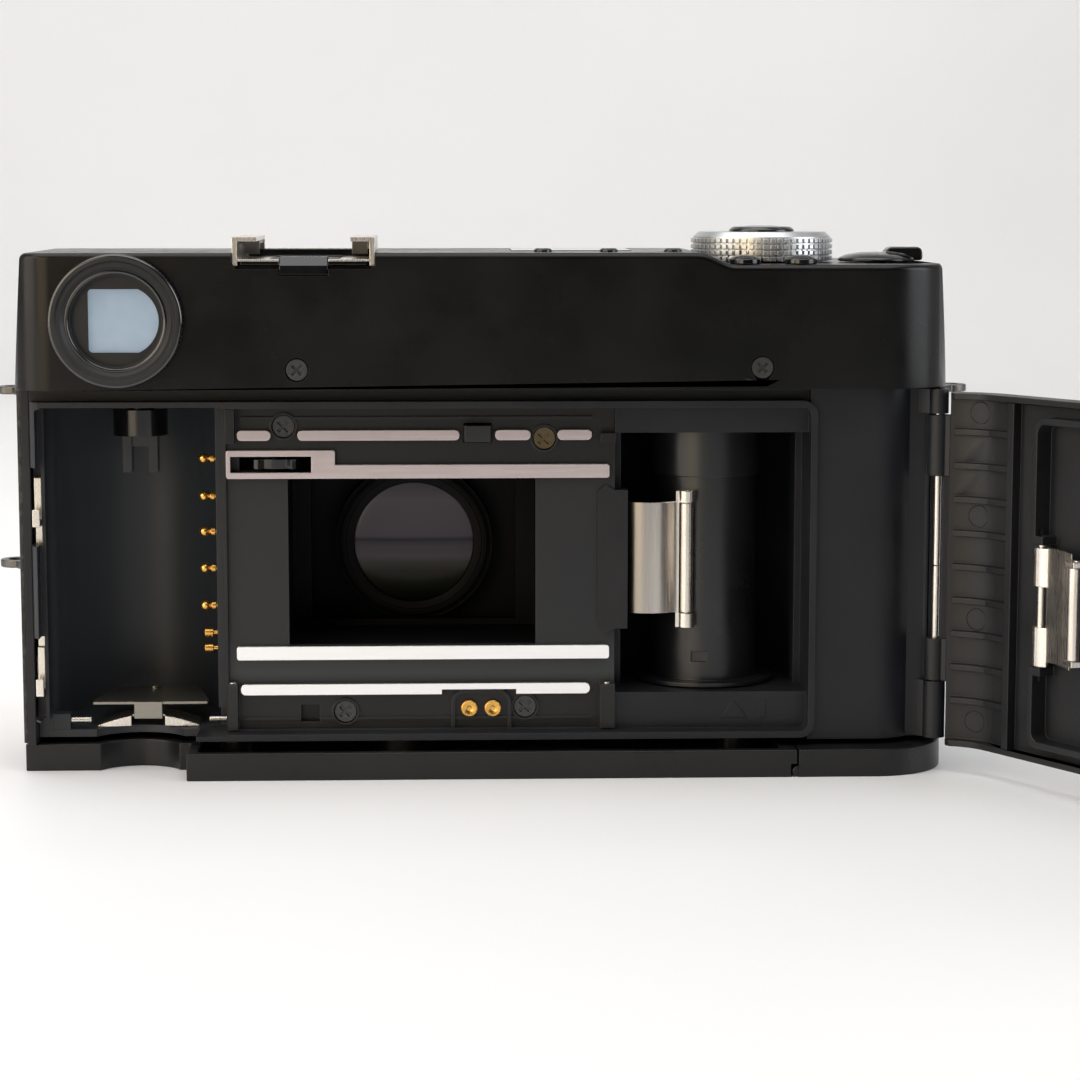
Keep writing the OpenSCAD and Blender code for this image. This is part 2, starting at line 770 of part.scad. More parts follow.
// Flat lug from x0 through the end face at face_x, narrowing to an eye for the strap's ring
module strap_lug(x0, face_x, side, z) {
  eye = face_x + side * (lug_out - lug_nose_r);
  half = lug_w / 2;
  difference() {
    slab(z, z + lug_t) {
      polygon([
        [x0, lug_y - half], [face_x, lug_y - half], [eye, lug_y - lug_nose_r],
        [eye, lug_y + lug_nose_r], [face_x, lug_y + half], [x0, lug_y + half]
      ]);
      intersection() {
        translate([eye, lug_y]) circle(lug_nose_r, $fn = fine);
        translate([side > 0 ? face_x - 0.1 : face_x + 0.1 - 2 * lug_nose_r, lug_y - lug_nose_r])
          square(2 * lug_nose_r);
      }
    }
    post(eye, lug_y, z - 1, z + 2, 1.4);
  }
}

module strap_lugs() color(dark) {
  strap_lug(cassette_end_x - 3.7, cassette_end_x, 1, lug_top_z);
  strap_lug(cassette_end_x - covering_t, cassette_end_x + 0.01, 1, lug_mid_z);
  strap_lug(grip_end_x + 3, grip_end_x, -1, lug_top_z);
}

// ---- finder, shoe and inner units ----

// Solid of revolution about an axis along Y; profile points are [radius, y]
module turned_y(x, z, profile) {
  translate([x, 0, z]) rotate([-90, 0, 0]) rotate_extrude($fn = fine) polygon(profile);
}

// Window of the eyepiece mask: straight on the outer side, an arc on the inner side
module eyepiece_aperture() {
  half = 4.45;
  round_rect(-1, 4, -half, half, [0, 0.6, 0.6, 0]);
  intersection() {
    translate([-1, 0]) circle(4.9, $fn = fine);
    translate([-6, -half]) square([5.5, 2 * half]);
  }
}

module eyepiece_ring() color(black) {
  turned_y(eye_x, eye_z, [
    [6.05, back_y - 3], [8.1, back_y - 3], [8.1, back_y], [9.4, back_y], [9.4, back_y + 1.1],
    [9, back_y + 1.5], [8.5, back_y + 1.5], [8.2, back_y + 1.1], [7.7, back_y + 1.1],
    [6.7, back_y + 0.2], [6.4, back_y + 0.2], [6.4, back_y - 0.8], [6.05, back_y - 0.8]
  ]);
  across(back_y - 1.1, back_y - 0.7) translate([eye_x, eye_z]) difference() {
    circle(6.4, $fn = fine);
    eyepiece_aperture();
  }
}

module eyepiece_glass() color([0.6, 0.7, 0.85, 0.5]) {
  rod_y(eye_x, eye_z, back_y - 2.6, back_y - 1.2, 6);
}

module finder_tube() color(black) difference() {
  union() {
    box(32.5, 48.7, -14.6, 13.4, 58, 73);
    rod_y(eye_x, eye_z, 13, 13.9, 7.2);
  }
  box(34, 47.2, -13.6, 12, 59.5, 71.5);
  rod_y(eye_x, eye_z, 10, 20, 6);
  box(34.4, 46.8, -20, 0, 61.6, 70);
}

module finder_front_glass() color([0.6, 0.7, 0.8, 0.5])
  across(-16.6, -15.2) round_rect(33.3, 47.9, 60.7, 70.9, [0.9, 0.9, 0.9, 0.9]);

module focus_window() color([0.05, 0.05, 0.08])
  across(-16.6, -15.2) round_rect(-13.9, 13.9, 61.5, 70.3, [0.9, 0.9, 0.9, 0.9]);

module self_timer_lamp() color("red") turned_y(-24, 65.8, [
  [0, -17.3], [1, -17.15], [1.8, -16.7], [2.1, -16.2], [2.1, -14.5], [0, -14.5]
]);

module circuit_board() color("darkgreen") {
  box(-45, 30, -12, 10, 57.6, 58.8);
  box(-20, -8, -8, 2, 58.7, 60);
  box(4, 12, -4, 4, 58.7, 60.4);
}

module hot_shoe() color("silver") {
  h = shoe_w / 2;
  wall_t = 0.7;
  difference() {
    box(shoe_x - h, shoe_x + h, shoe_y0, shoe_y1, 73.5, 77.5);
    box(shoe_x - h + wall_t, shoe_x + h - wall_t, shoe_y0 + 0.8, 20, shoe_floor_z, 76.9);
    box(shoe_x - lip_x, shoe_x + lip_x, shoe_y0 + 0.8, 20, shoe_floor_z, 80);
    box(shoe_x - 5, shoe_x + 5, shoe_y0 + 0.8, 13.9, 73, 80);
    box(shoe_x - 3.5, shoe_x + 3.5, 13.8, 20, 73, 80);
    // room for the black base plate under the floor
    box(shoe_x - h + wall_t, shoe_x + h - wall_t, shoe_y0 + 0.8, 20, 73, shoe_floor_z - 0.3);
    // the front end is lower than the rails
    box(shoe_x - lip_x, shoe_x + lip_x, shoe_y0 - 1, 3, 75.6, 80);
  }
}

module shoe_spring() color([0.25, 0.25, 0.26])
  for (s = [-1, 1]) translate([shoe_x + s * 7.7, 0, 0]) {
    translate([-1.1, 0, 76.45]) cube([2.2, 9, 0.4]);
    translate([-1.1, 8.6, 75]) cube([2.2, 0.4, 1.6]);
  }

module shoe_insulator() color(black) difference() {
  y0 = shoe_y0 + 0.85;
  union() {
    box(shoe_x - 4.9, shoe_x + 4.9, y0, 13.8, 72.3, shoe_floor_z + 0.1);
    box(shoe_x - 8.9, shoe_x + 8.9, y0, shoe_y1 - 0.1, 73.55, shoe_floor_z - 0.35);
    // stop across the front of the slot
    box(shoe_x - 4.9, shoe_x + 4.9, y0, y0 + 0.7, 73, 75.5);
    box(shoe_x - 8.9, shoe_x + 8.9, y0, y0 + 0.7, shoe_floor_z + 0.05, 75.5);
    // block with a sloping back that closes the rear notch
    along(shoe_x - 3.4, shoe_x + 3.4)
      polygon([[13.7, 72.2], [16.6, 72.2], [16.6, 73.5], [15.7, 74.75], [13.7, 74.75]]);
  }
  post(shoe_x, 7, 74, 76, 1.3);
}

module display_window() color([0.3, 0.32, 0.3]) box(-31.9, -14.6, -9.9, 4.9, 74.4, 75.4);

module battery() color([0.2, 0.2, 0.5]) {
  battery_space(battery_r, 4.6, 49.4);
  for (y = [-9, -1]) post(battery_x, y, 49.3, 50.1, 1.5);
}

// ---- lens ----

flange_r = 26.2;

module lens_barrel() color(black) turned_y(0, axis_z, [
  [22, front_y + covering_t], [flange_r, front_y + covering_t], [flange_r, -19.5],
  [24.8, -20.4], [24.8, lens_front_y + 0.3],
  [filter_r, lens_front_y + 0.3], [filter_r, lens_front_y + 3.3], [22, lens_front_y + 3.3]
]);

module lens_hood() color(black) turned_y(0, axis_z, [
  [24.88, -28], [26.3, -28], [26.3, -31], [26, -31.4], [26, -36], [26.3, -36.4],
  [26.3, lens_front_y + 0.3], [26, lens_front_y], [25.2, lens_front_y], [24.88, lens_front_y + 0.3]
]);

module focus_barrel() color(black) turned_y(0, axis_z, [
  [12, -27.5], [21.92, -27.5], [21.92, lens_front_y + 4.4], [20.6, lens_front_y + 4.4],
  [19.8, lens_front_y + 5.4], [18.6, lens_front_y + 5.4], [17.8, lens_front_y + 6.4],
  [15.2, lens_front_y + 7], [15.2, lens_front_y + 9], [12, lens_front_y + 9]
]);

module front_element() color([0.5, 0.5, 0.7, 0.5]) turned_y(0, axis_z, [
  [0, lens_front_y + 6.6], [5, lens_front_y + 6.75], [10, lens_front_y + 7.4],
  [15.1, lens_front_y + 8.6], [15.1, lens_front_y + 8.95], [11.9, lens_front_y + 8.95],
  [11.9, lens_front_y + 9.6],
  [0, lens_front_y + 9.6]
]);

module shutter_housing() color(black) difference() {
  turned_y(0, axis_z, [
    [rear_seat_r, -12.6], [10.8, -12.6], [12.1, -13.2], [12.1, -17], [21, -17], [21, -18.3],
    [22, -18.3], [22, -26.4], [9.1, -26.4], [9.1, -15.65], [rear_seat_r, -15.65]
  ]);
  // slot that the two blades swing in
  difference() {
    rod_y(0, axis_z, -22.4, -21.4, 20.6);
    rod_y(0, axis_z + blade_pivot_r, -23, -21, blade_pin_r);
  }
}

rear_glass_r = 10;
rear_seat_r = rear_glass_r + 0.05;

module rear_element() color([0.5, 0.5, 0.7, 0.5]) turned_y(0, axis_z, [
  [0, -12.7], [4, -12.85], [7, -13.2], [rear_glass_r, -13.8], [rear_glass_r, -15.6], [0, -15.6]
]);

blade_pivot_r = 18;    // distance of the blades' shared pivot pin from the lens axis
blade_pin_r = 0.6;
blade_r = 9.4;
blade_t = 0.2;

// Blade that hangs from the pin and covers one half of the aperture; side is 1 or -1
module blade(side, y) {
  edge = -0.3;
  across(y, y + blade_t) translate([0, axis_z]) mirror([side < 0 ? 1 : 0, 0]) difference() {
    union() {
      intersection() {
        circle(blade_r, $fn = fine);
        translate([edge, -blade_r]) square(2 * blade_r);
      }
      translate([edge, 5]) square([2.4, blade_pivot_r - 5]);
      translate([0, blade_pivot_r]) circle(1.6, $fn = fine);
    }
    translate([0, blade_pivot_r]) circle(blade_pin_r + run, $fn = fine);
  }
}

module shutter_blade_left() color("gray") blade(1, -21.8);
module shutter_blade_right() color("gray") blade(-1, -22.2);

// ---- controls ----

// Knurled ring: rows of square teeth around a drum
module aperture_dial() color("silver") {
  rows = 4;
  count = 62;
  row_h = 0.87;
  bore = button_r + 0.12;
  translate([dial_x, dial_y, 0]) rotate_extrude($fn = fine) polygon([
    [6.06, 73.8], [dial_r - 0.35, 73.8], [dial_r - 0.35, 77.3], [dial_r - 1.1, 78],
    [bore, 78], [bore, 76.5], [6.06, 76.5]
  ]);
  for (k = [0:count - 1]) translate([dial_x, dial_y, 0]) rotate(k * 360 / count)
    for (j = [0:rows - 1]) translate([dial_r - 0.6, -0.35, 73.85 + j * row_h])
      cube([0.6, 0.7, 0.6]);
}

module shutter_button() color(black) {
  translate([dial_x, dial_y, 0]) rotate_extrude($fn = fine) polygon([
    [0, 77.35], [button_r, 77.35], [button_r, 78.3], [button_r - 0.5, 78.7], [2, 78.85], [0, 78.6]
  ]);
  post(dial_x, dial_y, 69.5, 77.4, 2);
}

module mode_lever() color(black) {
  post(lever_x, lever_y, 70, 74, 1.5);
  translate([lever_x, lever_y, 0]) rotate_extrude($fn = fine) polygon([
    [0, 73.75], [5.4, 73.75], [5.45, 74.2], [4.4, 74.7], [2.4, 75.05], [0, 75.15]
  ]);
  // tab for the fingertip
  translate([lever_x, 0, 0]) across(lever_y - 1.6, lever_y + 1.6) polygon([
    [-1.5, 73.9], [-6.6, 73.9], [-6.8, 74.3], [-6.7, 75.4], [-6.2, 75.85], [-2, 75.85],
    [-1.5, 75.5], [-1.4, 75]
  ]);
}

module deck_button(x) {
  translate([x, deck_button_y, 0]) rotate_extrude($fn = 48)
    polygon([[0, 72.6], [1.3, 72.6], [1.3, 75.6], [1, 75.8], [0, 75.8]]);
}

module select_button() color(black) deck_button(select_x);
module timer_button() color(black) deck_button(timer_x);
module mode_button() color(black) deck_button(mode_x);

// Round domed button that sits in a recess of the lower deck
module edge_button(x) {
  translate([x, edge_button_y, 0]) rotate_extrude($fn = 48) polygon([
    [0, 70.5], [1, 70.5], [1, 73.65], [edge_button_r, 73.65], [edge_button_r, 74.3],
    [1.8, 74.65], [1.1, 74.9], [0, 75]
  ]);
}

module down_button() color(black) edge_button(down_x);
module up_button() color(black) edge_button(up_x);

// ---- back door, drawn closed and turned open about its pin ----

module opened() {
  translate([hinge_x, hinge_y, 0]) rotate([0, 0, door_open]) translate([-hinge_x, -hinge_y, 0]) children();
}

module door_strip(inner, y_low) {
  difference() {
    body_plan(0);
    body_plan(inner);
    past_corner_ray(door_end_angle);
    translate([-200, y_low - 100]) square([400, 100]);
  }
}

module door_knuckles() {
  reach = hinge_corner_r - door_wall;
  for (z = [[13.35, 19.5], [43.2, 52]]) slab(z[0], z[1]) difference() {
    union() {
      translate([hinge_x, hinge_y]) circle(knuckle_r, $fn = fine);
      polygon([
        [hinge_x - 0.3, hinge_y + 1.2], [hinge_x + 1, hinge_y + 1.7],
        [corner_x - reach * sin(46), corner_y + reach * cos(46)], [hinge_x + 0.9, hinge_y - 0.3]
      ]);
    }
    translate([hinge_x, hinge_y]) circle(hinge_pin_r + run, $fn = fine);
  }
}

rib_count = 9;
rib_pitch = 4.87;

module door_ribs() {
  for (k = [0:rib_count - 1]) slab(axis_z - 0.9 + (k - 4) * rib_pitch, axis_z + (k - 4) * rib_pitch) {
    difference() {
      translate([corner_x, corner_y]) circle(9.4, $fn = fine);
      translate([corner_x, corner_y]) circle(8, $fn = fine);
      past_corner_ray(44);
      translate([corner_x - 1, -20]) square([40, 60]);
      translate([-100, -40]) square([100, 40 + corner_y]);
    }
    translate([corner_x - 1.2, corner_y + 8.1]) square([ledge_x0 - corner_x + 1.3, 1.25]);
  }
}

ledge_x0 = -63.4;
ledge_x1 = -62.1;

// Thin lip of the door's end that closes the gap beside the bare part of the pin
module door_lip() {
  slab(19.4, 43.3) difference() {
    body_plan(0);
    body_plan(0.9);
    past_corner_ray(53.5);
    translate([corner_x - 7.5, -60]) square([200, 120]);
    translate([-200, -100]) square([400, 100 + corner_y]);
  }
}

module door_frame(i) {
  round_rect(-56.9 + i, 52.4 - i, 6.6 + i, 52.8 - i, [1.8 - i / 2, 1, 1, 1.8 - i / 2]);
}

module back_door() color(black) opened() difference() {
  union() {
    slab(door_z0, door_z1) door_strip(door_wall, 10.9);
    slab(door_z0, 5) door_strip(3.4, 11.5);
    slab(54.4, door_z1) door_strip(3.4, 11.5);
    door_ribs();
    door_knuckles();
    door_lip();
    box(ledge_x0, ledge_x1, 13.7, 16, 5, 54.5);
    across(12.5, 16) difference() {
      door_frame(0);
      door_frame(0.9);
    }
    // foot that completes the bottom plate under the cassette
    slab(0.1, base_h - 0.1) intersection() {
      body_plan(0);
      union() {
        translate([32.7, 9.4]) square([40, 20]);
        intersection() {
          translate([39.8, 12.1]) circle(6, $fn = fine);
          translate([30, 0]) square([20, 12]);
        }
      }
    }
    slab(base_h - 0.2, door_z0 + 0.3) intersection() {
      door_strip(door_wall, 10.9);
      translate([32.7, 10.9]) square([40, 20]);
    }
    // spring seats of the pressure plate and of the spool spring
    for (x = [-12, 12]) for (z = [axis_z - 11, axis_z + 11]) rod_y(x, z, 14.1, 16, 1);
    for (z = spring_lug_z) box(spring_x - 1, spring_x + 1, spring_y - 1, 16, z, z + spring_lug_h);
    // pad that presses the door switch
    rod_y(-9.5, 49.4, 12.05, 16, 1.2);
    // hooks for the latch
    for (z = finger_z) {
      box(latch_x + 0.1, latch_x + latch_w - 0.1, 10.2, 16, z + 5, z + 8);
      box(latch_x + 0.1, latch_x + latch_w - 0.1, 10.2, 11.2, z + 3.6, z + 5.2);
    }
  }
  post(spring_x, spring_y, spring_lug_z[0] - 1, spring_lug_z[1] + 2, spring_pin_r + run);
  // gap in the frame for the curled ends of the spool spring
  box(-57, -53.9, 12, back_y - door_wall, spring_lug_z[0] + spring_lug_h, spring_lug_z[1]);
}

module pressure_plate() color([0.15, 0.15, 0.16]) opened() difference() {
  across(11.3, 12) round_rect(-23, 22, axis_z - 15.8, axis_z + 15.8, [2, 2, 2, 2]);
  // notch over the sprocket
  box(15.6, 23, 11, 13, sprocket_z0 - 0.6, 50);
  for (z = [axis_z - 13, axis_z, axis_z + 13])
    across(11.9, 13) round_rect(-20, 19, z - 0.5, z + 0.5, [0.4, 0.4, 0.4, 0.4]);
}

module pressure_spring() color(nickel) opened() {
  for (s = [-1, 1]) {
    steps = 10;
    bow = [for (k = [0:steps]) let (t = k / steps) [s * (1 + 17 * t), 15 - 1.55 * sin(180 * t)]];
    slab(axis_z - 5, axis_z + 5)
      polygon(concat(bow, [for (k = [steps:-1:0]) bow[k] + [0, 0.2]]));
  }
  box(-1.2, 1.2, 14.95, 15.2, axis_z - 5, axis_z + 5);
}

spring_x = -55.5;
spring_y = 13.5;
spring_pin_r = 0.6;
spring_lug_h = 1.2;
spring_lug_z = [16.8, 35.2];
spring_curls = [[18.2, 23.7], [29.4, 34.8]];
roller_ear_z = [[33.4, 34.2], [19.8, 20.6]];

// Leaf on the door that presses the film onto the spool, curled about its pin
module spool_spring() color(nickel) opened() {
  post(spring_x, spring_y, spring_lug_z[0] + 0.1, spring_lug_z[1] + 1.1, spring_pin_r);
  for (z = spring_curls) slab(z[0], z[1]) {
    translate([spring_x, spring_y]) circle(1.15, $fn = fine);
    polygon([[-55.3, 12.35], [-54.2, 12.45], [-53.6, 12.8], [-53.6, 13.1], [-54.6, 12.9], [-55, 12.9]]);
  }
  slab(19, 35) polygon([
    [-53.9, 12.9], [-53.6, 12.8], [-51.6, 12.45], [-49.4, 11.7], [-46.6, 10.4], [-46.6, 10.7],
    [-49.3, 12], [-51.5, 12.75], [-53.8, 13.15]
  ]);
  for (z = roller_ear_z) slab(z[0], z[1]) difference() {
    polygon([[-47.4, 10.6], [-46.6, 9.2], [-44.6, 8.9], [-44, 10.2], [-44.8, 11.2], [-46.6, 10.9]]);
    translate([door_roller_x, door_roller_y]) circle(0.45, $fn = fine);
  }
}

door_roller_x = -45.4;
door_roller_y = 9.95;

module spring_roller() color(nickel) opened() {
  post(door_roller_x, door_roller_y, 20.7, 33.3, 0.95);
  post(door_roller_x, door_roller_y, 19.9, 34.1, 0.39);
}

module hinge_pin() color(nickel) {
  post(hinge_x, hinge_y, 5, 30, hinge_pin_r);
  post(hinge_x, hinge_y, 30.15, 55.6, hinge_pin_r);
}

// Sliding bar with two fingers that reach behind the door's hooks, and its outside knob
module door_latch() color(nickel) {
  x1 = latch_x + latch_w;
  face_x = cassette_end_x + 0.05;
  box(latch_x, x1, 8.9, 9.5, finger_z[0], finger_z[1] + 6.9);
  for (z = finger_z) {
    box(latch_x, x1, 9.4, 10.1, z, z + 6.9);
    box(latch_x, x1, 10, 12.4, z, z + 1);
    box(latch_x, x1, 11.5, 12.4, z, z + 2.5);
  }
  // link along the end wall, stem through the end face and ribbed knob
  box(latch_x + 0.8, cassette_end_x - 1.95, stem_y, 9.5, stem_z, stem_z + 3);
  box(latch_x + 0.8, face_x + 0.1, stem_y, stem_y + 1.4, stem_z, stem_z + 3);
  box(face_x, face_x + 0.9, stem_y - 4.5, stem_y + 2.3, stem_z - 1.5, stem_z + 4.5);
  for (k = [0:5])
    box(face_x + 0.8, face_x + 1.2, stem_y - 4.3, stem_y + 1.6, stem_z - 1.2 + k, stem_z - 0.7 + k);
}

main_chassis();
film_plate();
light_box();
front_cover();
front_covering();
top_cover();
bottom_plate();
hinge_pin();
eyepiece_ring();
eyepiece_glass();
finder_tube();
finder_front_glass();
focus_window();
self_timer_lamp();
hot_shoe();
shoe_spring();
shoe_insulator();
display_window();
winding_motor();
guide_flap();
cassette_saddle();
cassette_spring();
guide_pins();
plate_screws();
case_screws();
data_contacts();
lens_barrel();
rear_element();
shutter_housing();
shutter_blade_left();
shutter_blade_right();
circuit_board();
battery();
strap_lugs();
tripod_bush();
sprocket();
rewind_fork();
take_up_spool();
film_leaf();
leaf_roller();
code_contacts();
door_switch();
battery_cover();
focus_barrel();
front_element();
lens_hood();
aperture_dial();
shutter_button();
mode_lever();
select_button();
timer_button();
mode_button();
down_button();
up_button();
back_door();
pressure_plate();
pressure_spring();
spool_spring();
spring_roller();
door_latch();
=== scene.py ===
"""Looks of the compact film camera: materials, refined meshes, floor, light and camera."""
import json
import math

import bmesh
import bpy
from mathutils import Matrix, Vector
from mathutils.bvhtree import BVHTree


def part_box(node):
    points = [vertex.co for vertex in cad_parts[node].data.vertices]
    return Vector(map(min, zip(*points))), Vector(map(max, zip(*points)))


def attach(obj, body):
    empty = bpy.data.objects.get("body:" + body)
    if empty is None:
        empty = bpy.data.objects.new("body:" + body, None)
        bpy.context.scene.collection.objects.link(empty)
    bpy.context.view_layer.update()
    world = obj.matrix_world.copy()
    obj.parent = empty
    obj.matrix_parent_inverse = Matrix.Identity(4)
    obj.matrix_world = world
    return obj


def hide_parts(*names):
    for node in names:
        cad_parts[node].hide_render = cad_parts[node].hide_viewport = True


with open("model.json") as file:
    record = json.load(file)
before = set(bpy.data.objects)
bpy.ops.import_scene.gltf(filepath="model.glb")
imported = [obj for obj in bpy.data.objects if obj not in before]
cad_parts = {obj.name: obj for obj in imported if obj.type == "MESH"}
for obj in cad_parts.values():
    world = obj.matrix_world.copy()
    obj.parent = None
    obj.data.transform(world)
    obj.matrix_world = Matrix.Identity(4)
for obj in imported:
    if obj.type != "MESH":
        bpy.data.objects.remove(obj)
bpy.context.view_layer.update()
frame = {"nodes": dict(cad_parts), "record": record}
NODES = frame["nodes"]
MM = 0.001
EYE = Vector((-4.7 * MM, 405 * MM, 83.7 * MM))
WELD = 1e-6
FLAT_ANGLE = math.radians(0.4)
SHARP_ANGLE = math.radians(32)
LATHE_SHARP_ANGLE = math.radians(34)
SHOE_X = 14.95 * MM
SHOE_NOTCH = 11.5 * MM
RAIL_Y = 11
OUTER_RAIL_Y = 11.25
RAIL_SLACK = 0.02
INNER_RAIL_BANDS = ((16.4, 18.6), (42.8, 47.1))
DATA_CONTACTS_X = (-8.17, -11.6)
DATA_CONTACTS_Z = 9.2
EJECTOR_MARKS_Z = (52.6, 37.8, 22.9, 8)
FILM_END_Y = 11
FILM_END_HEIGHT = 0.12
ROOM = 0.36
ROOM_BEHIND_CAMERA = 0.02


# ---- materials ----


class Graph:
    """A node tree with short calls for the few nodes the materials use."""

    def __init__(self, name):
        self.material = bpy.data.materials.new(name)
        self.material.use_nodes = True
        self.tree = self.material.node_tree
        self.shader = self.tree.nodes["Principled BSDF"]
        self.place = self.add("ShaderNodeTexCoord").outputs["Object"]
        soft = self.add("ShaderNodeBevel", samples=6)
        soft.inputs["Radius"].default_value = 0.12 * MM
        self.link(soft.outputs["Normal"], self.shader.inputs["Normal"])

    def add(self, kind, **settings):
        node = self.tree.nodes.new(kind)
        for key, value in settings.items():
            setattr(node, key, value)
        return node

    def link(self, source, target):
        self.tree.links.new(source, target)

    def set(self, **values):
        for key, value in values.items():
            self.shader.inputs[key.replace("_", " ")].default_value = value

    def scaled(self, factors):
        node = self.add("ShaderNodeMapping")
        node.inputs["Scale"].default_value = factors
        self.link(self.place, node.inputs["Vector"])
        return node.outputs["Vector"]

    def noise(self, size, detail=3, stretch=(1, 1, 1), rough=0.55):
        """Noise whose features are about size metres across."""
        node = self.add("ShaderNodeTexNoise")
        node.inputs["Scale"].default_value = 1
        node.inputs["Detail"].default_value = detail
        node.inputs["Roughness"].default_value = rough
        self.link(self.scaled([s / size for s in stretch]), node.inputs["Vector"])
        return node.outputs["Fac"]

    def cells(self, size, feature="F1"):
        node = self.add("ShaderNodeTexVoronoi", feature=feature)
        node.inputs["Scale"].default_value = 1
        self.link(self.scaled([1 / size] * 3), node.inputs["Vector"])
        return node.outputs["Distance"]

    def ramp(self, value, low, high, colours=None, at=(0, 1)):
        """Maps value from [at] to [low, high], or to two colours."""
        if colours is None:
            node = self.add("ShaderNodeMapRange")
            for key, v in zip(("From Min", "From Max", "To Min", "To Max"), (*at, low, high)):
                node.inputs[key].default_value = v
            self.link(value, node.inputs["Value"])
            return node.outputs["Result"]
        node = self.add("ShaderNodeValToRGB")
        for stop, place, colour in zip(node.color_ramp.elements, at, colours):
            stop.position = place
            stop.color = (*colour, 1)
        self.link(value, node.inputs["Fac"])
        return node.outputs["Color"]

    def bands(self, value, stops):
        """Colour from value by a list of (place, colour) stops."""
        node = self.add("ShaderNodeValToRGB")
        elements = node.color_ramp.elements
        while len(elements) < len(stops):
            elements.new(0.5)
        for element, (place, colour) in zip(elements, stops):
            element.position = place
            element.color = (*colour, 1)
        self.link(value, node.inputs["Fac"])
        return node.outputs["Color"]

    def height(self, low, high):
        """0 at height low to 1 at height high, in the object's frame."""
        split = self.add("ShaderNodeSeparateXYZ")
        self.link(self.place, split.inputs["Vector"])
        return self.ramp(split.outputs["Z"], 0, 1, at=(low, high))

    def math(self, operation, a, b):
        node = self.add("ShaderNodeMath", operation=operation)
        for socket, v in zip(node.inputs, (a, b)):
            if isinstance(v, (int, float)):
                socket.default_value = v
            else:
                self.link(v, socket)
        return node.outputs[0]

    def mix(self, factor, a, b):
        node = self.add("ShaderNodeMix", data_type="RGBA")
        sockets = [node.inputs[0], node.inputs[6], node.inputs[7]]
        for socket, v in zip(sockets, (factor, a, b)):
            if hasattr(v, "is_output"):
                self.link(v, socket)
            elif isinstance(v, (int, float)):
                socket.default_value = v
            else:
                socket.default_value = (*v, 1)
        return node.outputs[2]

    def bump(self, height, distance, strength=1.0):
        node = self.add("ShaderNodeBump")
        node.inputs["Distance"].default_value = distance
        node.inputs["Strength"].default_value = strength
        self.link(height, node.inputs["Height"])
        if self.shader.inputs["Normal"].links:
            self.link(self.shader.inputs["Normal"].links[0].from_socket, node.inputs["Normal"])
        self.link(node.outputs["Normal"], self.shader.inputs["Normal"])

    def edge(self, radius, low=0.02, high=0.35):
        """1 on edges sharper than radius, 0 on flat ground."""
        bevel = self.add("ShaderNodeBevel")
        bevel.inputs["Radius"].default_value = radius
        geometry = self.add("ShaderNodeNewGeometry")
        dot = self.add("ShaderNodeVectorMath", operation="DOT_PRODUCT")
        self.link(bevel.outputs["Normal"], dot.inputs[0])
        self.link(geometry.outputs["Normal"], dot.inputs[1])
        return self.ramp(self.math("SUBTRACT", 1.0, dot.outputs["Value"]), 0, 1, at=(low, high))


def coated_black(name, colour, rough, grain, grain_depth, wear_and_highlight=0.25, sheen=0.35, painted_chamber_light=None):
    """Black coating or moulding with a fine grain, smears in its sheen and lighter edges that are partly
    wear, partly painted edge highlight.

    The optional colour given for the cassette chamber is painted light: a paler, bluer tone deep inside it.
    """
    g = Graph(name)
    g.set(Specular_IOR_Level=sheen)
    smear = g.noise(14 * MM, 4)
    fine = g.noise(grain, 2)
    g.link(g.ramp(smear, rough - 0.06, rough + 0.08, at=(0.3, 0.7)), g.shader.inputs["Roughness"])
    tone = g.ramp(smear, 0, 0, [[c * 0.8 for c in colour], [c * 1.25 for c in colour]], (0.3, 0.7))
    # painted light: paler, bluer colour deep inside the cassette chamber
    if painted_chamber_light:
        split = g.add("ShaderNodeSeparateXYZ")
        g.link(g.place, split.inputs["Vector"])
        inside = g.ramp(split.outputs["Y"], 1, 0, at=(4 * MM, 9.5 * MM))
        at_cassette = g.ramp(split.outputs["X"], 0, 1, at=(0, 24 * MM))
        tone = g.mix(g.math("MULTIPLY", inside, at_cassette), tone, painted_chamber_light)
    # lighter edges: partly wear, partly painted edge highlight
    patchy = g.math("MULTIPLY", g.edge(0.25 * MM), g.ramp(g.noise(2.5 * MM, 4), 0, 1, at=(0.42, 0.72)))
    worn_and_lit_edge = [min(1, c * 4 + 0.02) for c in colour]
    g.link(g.mix(g.math("MULTIPLY", patchy, wear_and_highlight), tone, worn_and_lit_edge), g.shader.inputs["Base Color"])
    g.bump(fine, grain_depth)
    return g.material


def film_plate_black(name):
    """Matt black of the film plate with painted light and shade: near black above the gate, paler around and
    below it.
    """
    g = Graph(name)
    # painted light and shade by height: near black at the top, a paler band low on the plate
    stops = [
        (0.0, (0.012, 0.013, 0.014)), (0.13, (0.014, 0.015, 0.016)), (0.17, (0.036, 0.039, 0.041)),
        (0.24, (0.036, 0.039, 0.041)), (0.28, (0.017, 0.018, 0.02)), (0.76, (0.015, 0.015, 0.017)),
        (0.84, (0.005, 0.005, 0.006)), (1.0, (0.006, 0.006, 0.007)),
    ]
    tone = g.bands(g.height(6.4 * MM, 53 * MM), stops)
    # lighter edges: partly wear, partly painted edge highlight
    worn_and_lit_edge = g.math("MULTIPLY", g.edge(0.2 * MM), 0.5)
    g.link(g.mix(worn_and_lit_edge, tone, (0.07, 0.072, 0.075)), g.shader.inputs["Base Color"])
    g.link(g.ramp(g.noise(10 * MM, 4), 0.34, 0.48, at=(0.3, 0.7)), g.shader.inputs["Roughness"])
    g.set(Specular_IOR_Level=0.35)
    g.bump(g.noise(0.2 * MM, 2), 0.006 * MM)
    return g.material


